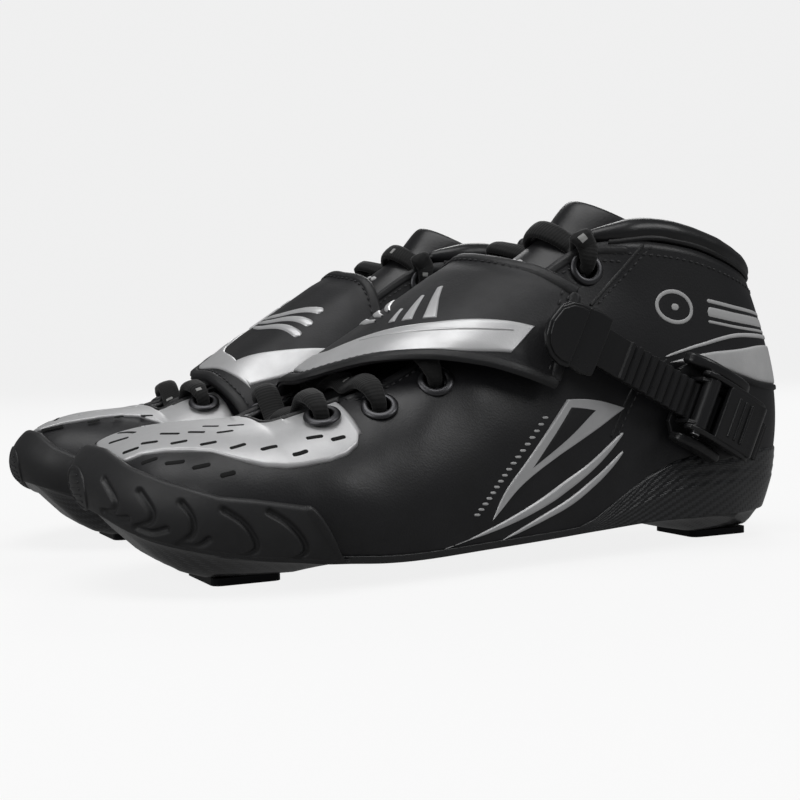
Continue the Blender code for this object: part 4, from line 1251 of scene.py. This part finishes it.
def block(outline, low, high, axis="y", soften=0.5, segments=2):
    """A bevelled prism in the ladder's frame; its outline is in x-z, or in x-y for axis z."""
    bm = blank()

    def corner(a, b, level):
        return (a, level, b) if axis == "y" else (a, b, level)

    near = [bm.verts.new(corner(a, b, low)) for a, b in outline]
    face = bm.faces.new(near)
    made = bmesh.ops.extrude_face_region(bm, geom=[face])
    shift = (0, high - low, 0) if axis == "y" else (0, 0, high - low)
    bmesh.ops.translate(bm, vec=shift, verts=[v for v in made["geom"]
                                              if isinstance(v, bmesh.types.BMVert)])
    bmesh.ops.recalc_face_normals(bm, faces=bm.faces)
    sharp = [e for e in bm.edges if e.calc_face_angle(0) > 0.35]
    bmesh.ops.bevel(bm, geom=sharp, offset=soften, segments=segments, affect="EDGES",
                    profile=0.5, material=-1, clamp_overlap=True)
    return bm


def rod(radius, start, end, sides=24, soften=0.2):
    """A round bar with bevelled ends."""
    bm = blank()
    start, end = Vector(start), Vector(end)
    turn = (end - start).to_track_quat("Z", "Y").to_matrix().to_4x4()
    bmesh.ops.create_cone(bm, cap_ends=True, segments=sides, radius1=radius, radius2=radius,
                          depth=(end - start).length,
                          matrix=Matrix.Translation((start + end) / 2) @ turn)
    rim = [e for e in bm.edges if e.calc_face_angle(0) > 1.0]
    bmesh.ops.bevel(bm, geom=rim, offset=soften, segments=2, affect="EDGES", profile=0.5,
                    material=-1)
    return bm


def on_ladder(bm):
    """Moves a mesh from the ladder's frame to the boot's."""
    bmesh.ops.transform(bm, matrix=ladder_frame(), verts=bm.verts)
    return bm


def crisp(piece):
    """Flat faces stay flat beside the rounded edges."""
    modifier = piece.modifiers.new("corners", "WEIGHTED_NORMAL")
    modifier.keep_sharp = True


def make_ladder():
    """Toothed ladder strap."""
    first_tooth, pitch = -34.5, 3.8
    outline = [(-56.0, 0.0), (-56.0, 2.4), (first_tooth, 2.4)]
    for k in range(19):
        x = first_tooth + k * pitch
        outline += [(x + 0.7, 3.45), (x + 2.1, 3.45), (x + 3.0, 2.0)]
    outline += [(38.5, 2.0), (38.5, 0.0)]
    bm = on_ladder(block(outline, -7.0, 7.0, soften=0.28))
    pair("ladder", bm, MOULDED, ["ladder"], "ladder", crisp)


def make_clamp():
    """Shield plate with a raised rim, and the keeper over the ladder's end."""
    shield = [(-70.8, -2.5), (-70.2, -7.5), (-68.2, -11.2), (-65, -13.6), (-61, -14.4),
              (-57.0, -13.9), (-56.8, -4), (-57.0, 8.8), (-61, 8.6), (-65, 7.4), (-68.6, 4.2)]
    inner = [(x + (-63.5 - x) * 0.13, y + (-3 - y) * 0.13) for x, y in shield]
    plate = block(shield, 3.3, 6.0, "z", 0.9, 3)
    face = block(inner, 5.6, 6.7, "z", 0.5, 3)
    top = block([(-57.8, -13.0), (-52, -13.4), (-46.6, -12.2), (-46.2, -6), (-46.2, 6),
                 (-46.6, 9.6), (-52, 9.9), (-57.8, 9.2)], 2.9, 5.6, "z", 1.0, 3)
    low_leg = block([(-54.5, -12.2), (-47, -11.5), (-47, -7.3), (-54.5, -7.3)], 0.2, 4.0,
                    "z", 0.4)
    high_leg = block([(-54.5, 7.3), (-47, 7.3), (-47, 9.2), (-54.5, 9.1)], 0.2, 4.0, "z", 0.4)
    bm = on_ladder(merged(plate, face, top, low_leg, high_leg))
    pair("strap_clamp", bm, MOULDED, ["strap_clamp"], "ladder", crisp)


def make_buckle():
    """Ratchet buckle base: floor, cheeks, and a rounded guard along each side."""
    floor = [(-4, -10), (0, -14.6), (22, -14.6), (31, -9), (31, 9), (22, 15), (-2, 15),
             (-8, 9), (-4, 7)]
    side = [(-1.5, -2.0), (-1.5, 6.0), (0.4, 8.4), (5.6, 8.4), (7.6, 6.6), (20, 6.8),
            (22, 7.4), (24.4, 6.6), (30, 3), (30, -2.0)]
    guard = [(-7.5, -2.0), (-6.5, 2.2), (-3, 4.6), (1, 6.0), (8, 6.7), (16, 6.3), (21, 5.0),
             (24.6, 1.8), (25.2, -2.0)]
    low_guard = [(-1.5, -2.0), (-0.5, 2.6), (2.5, 5.0), (8, 6.0), (15, 5.6), (20, 4.0),
                 (22.4, -2.0)]
    parts = [block(floor, -2.6, -0.6, "z", 0.5), block(side, -9.1, -7.4, "y", 0.5),
             block(side, 7.4, 9.1, "y", 0.5), block(guard, 12.2, 16.6, "y", 1.4, 4),
             block(low_guard, -15.8, -12.2, "y", 1.3, 4)]
    pair("buckle_base", on_ladder(merged(*parts)), MOULDED, ["buckle_base"],
         "boot", crisp)


def make_lever():
    """Lever with two arms, a finger plate with a raised lip, and a rounded hinge bar."""
    x, z = 3.0, 6.6

    def at(points):
        return [(x + a, z + b) for a, b in points]

    arm = at([(-4.6, -1.8), (-5.6, 0.4), (-4.8, 2.6), (-2, 3.5), (6, 3.8), (16, 3.5), (23, 2.8),
              (26, 1.4), (25, -0.3), (14, 0.0), (3.4, -2.4), (-2.0, -2.8)])
    plate = at([(6.0, 1.4), (6.0, 4.0), (14, 4.0), (21, 3.4), (24.5, 3.6), (26.4, 2.4),
                (25.5, 0.8), (22, 1.2), (16, 1.4)])
    parts = [block(arm, 9.5, 11.3, "y", 0.6, 3), block(arm, -11.3, -9.5, "y", 0.6, 3),
             block(plate, -10.0, 10.0, "y", 0.7, 3),
             rod(3.1, (x, -9.6, z), (x, 9.6, z), 28, 0.6)]
    for k in range(3):
        at_x = x + 10.5 + k * 3.2
        parts.append(block([(at_x, z + 3.4), (at_x + 0.5, z + 4.6), (at_x + 1.3, z + 4.6),
                            (at_x + 1.8, z + 3.4)], -7.5, 7.5, "y", 0.3, 2))
    pair("buckle_lever", on_ladder(merged(*parts)), MOULDED, ["buckle_lever"],
         "lever", crisp)
    heads = merged(rod(1.7, (x, -12.0, z), (x, -11.2, z), 24, 0.25),
                   rod(1.7, (x, 11.2, z), (x, 12.0, z), 24, 0.25))
    pair("lever_pin_heads", on_ladder(heads), STEEL, (), "lever", crisp)


def make_catch():
    """Spring-loaded release catch that holds the ladder's teeth."""
    x, z = 22.0, 5.8
    pawl = [(x + a, z + b) for a, b in
            [(-8.0, -1.5), (-7.4, -0.4), (-2.6, 1.7), (2.6, 1.9), (6.4, 1.0), (6.4, -0.2),
             (2.6, -1.7), (-2.6, -1.7), (-6.0, -1.7)]]
    pair("buckle_catch", on_ladder(block(pawl, -4.4, 6.9, "y", 0.4, 2)), MOULDED,
         ["buckle_catch"], "catch", crisp)


# ---------------------------------------------------------------- leather trim
def make_slots():
    """Short pressed slots round the silver panel and in the black leather beside it."""
    in_silver = [((.82, .645), (1.33, .721)), ((1.60, .578), (1.97, .640)),
                 ((1.95, .672), (2.36, .696)), ((2.66, .675), (3.05, .703)),
                 ((3.34, .668), (3.76, .695)), ((4.00, .640), (4.42, .668)),
                 ((4.68, .617), (5.30, .650)), ((5.78, .608), (6.42, .632)),
                 ((6.60, .715), (7.05, .706)), ((7.15, .668), (7.48, .675)),
                 ((.30, .793), (1.30, .778)), ((2.25, .772), (2.80, .770)),
                 ((3.00, .785), (3.50, .783)), ((3.81, .775), (4.30, .790)),
                 ((3.40, .855), (3.95, .850)), ((4.20, .850), (4.70, .845)),
                 ((-.2, .645), (-.9, .700)), ((-1.7, .735), (-2.2, .765)),
                 ((-2.9, .785), (-3.4, .800)), ((-4.2, .785), (-4.7, .77))]
    in_leather = [((1.68, .535), (1.98, .600)), ((2.13, .530), (2.45, .580)),
                  ((2.60, .540), (2.99, .565)), ((3.12, .517), (3.50, .545)),
                  ((3.62, .473), (3.95, .500))]

    def off_panel(place, height, distance):
        return off_skin(place, height, PANEL_LIFT + distance)

    # The slots' near-black colour is painted shade inside each slot; in the silver panel it also
    # stands for the black leather showing through
    for name, off, slots, lift in (("panel_slots", off_panel, in_silver, 0.12),
                                   ("leather_slots", off_leather, in_leather, 0.25)):
        cuts = [stroke(off, ends, 2.0, lift, segments=12, base=-0.1) for ends in slots]
        pair(name, merged(*cuts), SLOT_SHADE)


def make_side_fin():
    """Hollow silver fin on the outer quarter, with a row of dashes beside it."""
    fin = panel(off_leather,
                [(10.07, .115), (10.28, .21), (10.72, .315), (11.10, .395), (11.46, .465)],
                [(10.07, .115), (10.62, .225), (11.25, .285), (12.0, .335), (12.66, .392)],
                0.5, 0.8, 90, 20)
    pair("side_fin", fin, SILVER)
    window = panel(lambda place, height, distance: off_leather(place, height, 0.5 + distance),
                   [(10.76, .272), (11.0, .325), (11.25, .378), (11.52, .434)],
                   [(10.76, .272), (11.2, .312), (11.6, .352), (12.0, .398)],
                   0.12, 0.4, 50, 12, -0.2)
    pair("side_fin_window", window, BLACK_LEATHER)
    low, high, count = Vector((9.78, .155)), Vector((11.12, .452)), 17
    dashes = []
    for k in range(count):
        place, height = low.lerp(high, k / count)
        place -= math.sin(math.pi * k / count) * 0.06
        ends = [(place - .035, height + .003), (place + .075, height - .004)]
        dashes.append(stroke(off_leather, ends, 1.0, 0.14, segments=4, base=-0.1))
    pair("side_dashes", merged(*dashes), PRINT)


def make_swooshes():
    """Two silver swooshes that run from the sole up to the quarter."""
    for name, path, width in (
            ("swoosh_high", [(12.55, .308), (11.93, .227), (11.42, .179), (11.0, .14),
                             (10.2, .085), (9.19, .030)], 4.4),
            ("swoosh_low", [(12.52, .246), (12.03, .179), (11.51, .124), (10.8, .07),
                            (10.05, .012)], 3.2)):
        bm = stroke(off_leather, path, width, 0.45,
                    taper=lambda a: math.sin(math.pi * min(1, a * 1.1 + 0.02)) ** 0.6)
        pair(name, bm, SILVER)


def make_heel_mark():
    """Plain printed ring with a hub, and three bars behind it."""
    place, height = 13.73, .773
    ring = stroke(off_leather, oval(place, height, 0.30, .058), 1.7, 0.16,
                  taper=lambda a: 1, segments=60, base=-0.1)
    hub = stroke(off_leather, [(place - .06, height), (place + .06, height)], 2.8, 0.16,
                 base=-0.1, segments=10)
    bars = [stroke(off_leather, [(14.35, .770 + lift), (16.2, .800 + lift)], width, 0.16,
                   base=-0.1) for lift, width in ((.052, 1.6), (.010, 4.2), (-.030, 1.2))]
    pair("heel_mark", merged(ring, hub, *bars), PRINT)


def make_heel_band():
    """Pale band round the heel, a thin stripe above it and piping below it."""
    def round_heel(points):
        """Path on the outer side carried on round the heel to the inner side."""
        return points + [(2 * LAST - place, height) for place, height in points[-2::-1]]

    stripe = round_heel([(13.50, .579), (14.17, .639), (14.99, .715), (16, .742), (17, .75)])
    pair("heel_stripe", stroke(off_leather, stripe, 2.0, 0.4, segments=150,
                               taper=lambda a: math.sin(math.pi * a) ** 0.3), PALE_BAND)
    low = round_heel([(13.55, .557), (14.53, .563), (15.03, .549), (15.65, .525), (17, .518)])
    high = round_heel([(13.55, .557), (14.44, .624), (15.1, .665), (15.8, .700), (17, .712)])
    pair("heel_band", panel(off_leather, low, high, 0.55, 1.0, 160), PALE_BAND)
    edge = round_heel([(14.4, .553), (15.03, .537), (15.65, .512), (17, .505)])
    pair("heel_band_piping", stroke(off_leather, edge, 2.6, 0.9, segments=120), BINDING)


def make_seams():
    """Sewn seams: a raised edge with stitches beside it."""
    for name, path in (
            ("ankle_seam", [(13.28, .990), (12.85, .890), (12.34, .792), (12.12, .755)]),
            ("ankle_seam_inner", [(20.72, .990), (21.15, .890), (21.66, .792), (21.88, .755)]),
            ("counter_seam", [(12.30, .30), (12.9, .47), (13.4, .575)])):
        pair(name, stroke(off_leather, path, 1.6, 0.45), BINDING)
        beside = [(place + 0.14, height) for place, height in path]
        pair(f"{name}_stitches", stitches(off_leather, beside, 2.8), THREAD)


def make_throat_edges():
    """Bound edge of the throat on each side, with a thicker lip over the silver panel."""
    def off_lip(place, height, distance):
        return off_skin(place, height, distance + 0.9)

    for name, side in (("outer", 1), ("inner", -1)):
        def along(start, end, height):
            return [(side * (start + (end - start) * k / 20) % ROUND, height)
                    for k in range(21)]

        lip = [(side * place, height) for place, height in
               [(4.9, .985), (5.5, .965), (6.1, .962), (6.8, .968), (7.9, .972)]]
        pair(f"throat_lip_{name}", stroke(off_lip, lip, 2.8, 0.9, segments=70), BINDING)
        pair(f"throat_binding_{name}",
             stroke(off_leather, along(8.0, 13.0, .968), 3.4, 0.6, segments=120), BINDING)
        pair(f"throat_stitches_{name}",
             stitches(off_leather, along(8.1, 12.9, .925), 2.8), THREAD)


# ---------------------------------------------------------------- everything
def dress_metal():
    """The turned and folded metal parts keep their own shapes."""
    for side in SIDES:
        # The mounts get near-black metal that paints the shade under the sole; the pins, spring
        # and screw get steel
        for names, material in ((("front_mount", "heel_mount"), SHADE_DARK_ALLOY),
                                (("lever_pin", "catch_pin", "catch_spring", "buckle_screw"),
                                 STEEL)):
            for name in names:
                piece = frame["nodes"][f"{side}_{name}"]
                piece.data.materials.clear()
                piece.data.materials.append(material)


def make_backdrop():
    """Pale floor that curves up behind."""
    bm = bmesh.new()
    bmesh.ops.create_grid(bm, x_segments=2, y_segments=40, size=0.5)
    towards = Vector((math.sin(VIEW_AZIMUTH), -math.cos(VIEW_AZIMUTH), 0))
    side = Vector((-towards.y, towards.x, 0))
    flat, radius, wide, tall = 3.0, 1.2, 12, 3
    arc = radius * math.pi / 2
    for vert in bm.verts:
        walked = (vert.co.y + 0.5) * (flat * 2 + arc + tall)
        if walked < flat * 2:
            reach, rise = flat - walked, 0.0
        elif walked < flat * 2 + arc:
            angle = (walked - flat * 2) / radius
            reach, rise = -flat - radius * math.sin(angle), radius * (1 - math.cos(angle))
        else:
            reach, rise = -flat - radius, radius + walked - flat * 2 - arc
        vert.co = towards * reach + side * vert.co.x * wide + Vector((0, 0, rise))
    bmesh.ops.recalc_face_normals(bm, faces=bm.faces)
    mesh = bpy.data.meshes.new("backdrop")
    bm.to_mesh(mesh)
    bm.free()
    for polygon in mesh.polygons:
        polygon.use_smooth = True
    made, tree, shader = surface("backdrop", (0.14, 0.14, 0.14), 1.0)
    shader.inputs["Specular IOR Level"].default_value = 0.0
    shader.inputs["Emission Color"].default_value = (1, 1, 1, 1)
    seen = node(tree, "ShaderNodeLightPath").outputs["Is Camera Ray"]
    tree.links.new(spread(tree, seen, 0, 1, 0.10, 0.85), shader.inputs["Emission Strength"])
    mesh.materials.append(made)
    floor = bpy.data.objects.new("backdrop", mesh)
    bpy.context.scene.collection.objects.link(floor)


def light(name, azimuth, height, distance, size, power):
    """Soft square light aimed at the boots; azimuth 0 stands in front of the toes."""
    target = Vector((0.0, 0.0, 0.05))
    lamp = bpy.data.lights.new(name, "AREA")
    lamp.shape = "RECTANGLE"
    lamp.size, lamp.size_y = size
    lamp.energy = power
    holder = bpy.data.objects.new(name, lamp)
    turn = math.radians(azimuth)
    place = Vector((math.sin(turn) * distance, -math.cos(turn) * distance, height))
    holder.location = place
    holder.rotation_euler = (target - place).to_track_quat("-Z", "Y").to_euler()
    bpy.context.scene.collection.objects.link(holder)


def make_studio():
    """Soft light from four sides, in a faintly lit room."""
    scene = bpy.context.scene
    scene.view_settings.view_transform = "Standard"
    world = bpy.data.worlds.new("studio")
    scene.world = world
    world.use_nodes = True
    background = world.node_tree.nodes["Background"]
    background.inputs["Color"].default_value = (0.9, 0.92, 0.95, 1)
    background.inputs["Strength"].default_value = 0.10
    light("top_light", 40, 1.5, 0.3, (1.2, 0.9), 9)
    light("front_light", 20, 0.7, 1.3, (0.8, 0.6), 4)
    light("heel_light", 130, 0.9, 1.2, (0.6, 0.5), 4)
    light("back_light", 235, 0.9, 1.3, (0.8, 0.5), 5)


def make_camera():
    """Camera low at the left boot's outer side, looking a little down on it."""
    target, distance, roll = Vector((0.06648, -0.02456, 0.05763)), 0.4992, math.radians(-1.317)
    back = Vector((math.sin(VIEW_AZIMUTH) * math.cos(VIEW_ELEVATION),
                   -math.cos(VIEW_AZIMUTH) * math.cos(VIEW_ELEVATION),
                   math.sin(VIEW_ELEVATION)))
    right = Vector((0, 0, 1)).cross(back).normalized()
    up = back.cross(right)
    turned = right * math.cos(roll) + up * math.sin(roll)
    upright = up * math.cos(roll) - right * math.sin(roll)
    lens = bpy.data.cameras.new("camera")
    lens.lens = 63.5
    lens.sensor_width = 36
    lens.clip_start, lens.clip_end = 0.01, 50
    camera = bpy.data.objects.new("camera", lens)
    facing = Matrix((turned, upright, back)).transposed().to_4x4()
    camera.matrix_world = Matrix.Translation(target + back * distance) @ facing
    bpy.context.scene.collection.objects.link(camera)
    bpy.context.scene.camera = camera


def main():
    """Makes every piece, then the floor, the lights and the camera."""
    for make in (make_upper, make_shell, make_toe_guard, make_toe_badge, make_toe_cap,
                 make_eyelets, make_collar, make_tongue, make_footbed, make_laces, make_strap,
                 make_strap_panels, make_ladder, make_clamp, make_buckle, make_lever,
                 make_catch, make_slots, make_side_fin, make_swooshes, make_heel_mark,
                 make_heel_band, make_seams, make_throat_edges, dress_metal, make_backdrop,
                 make_studio, make_camera):
        make()


main()
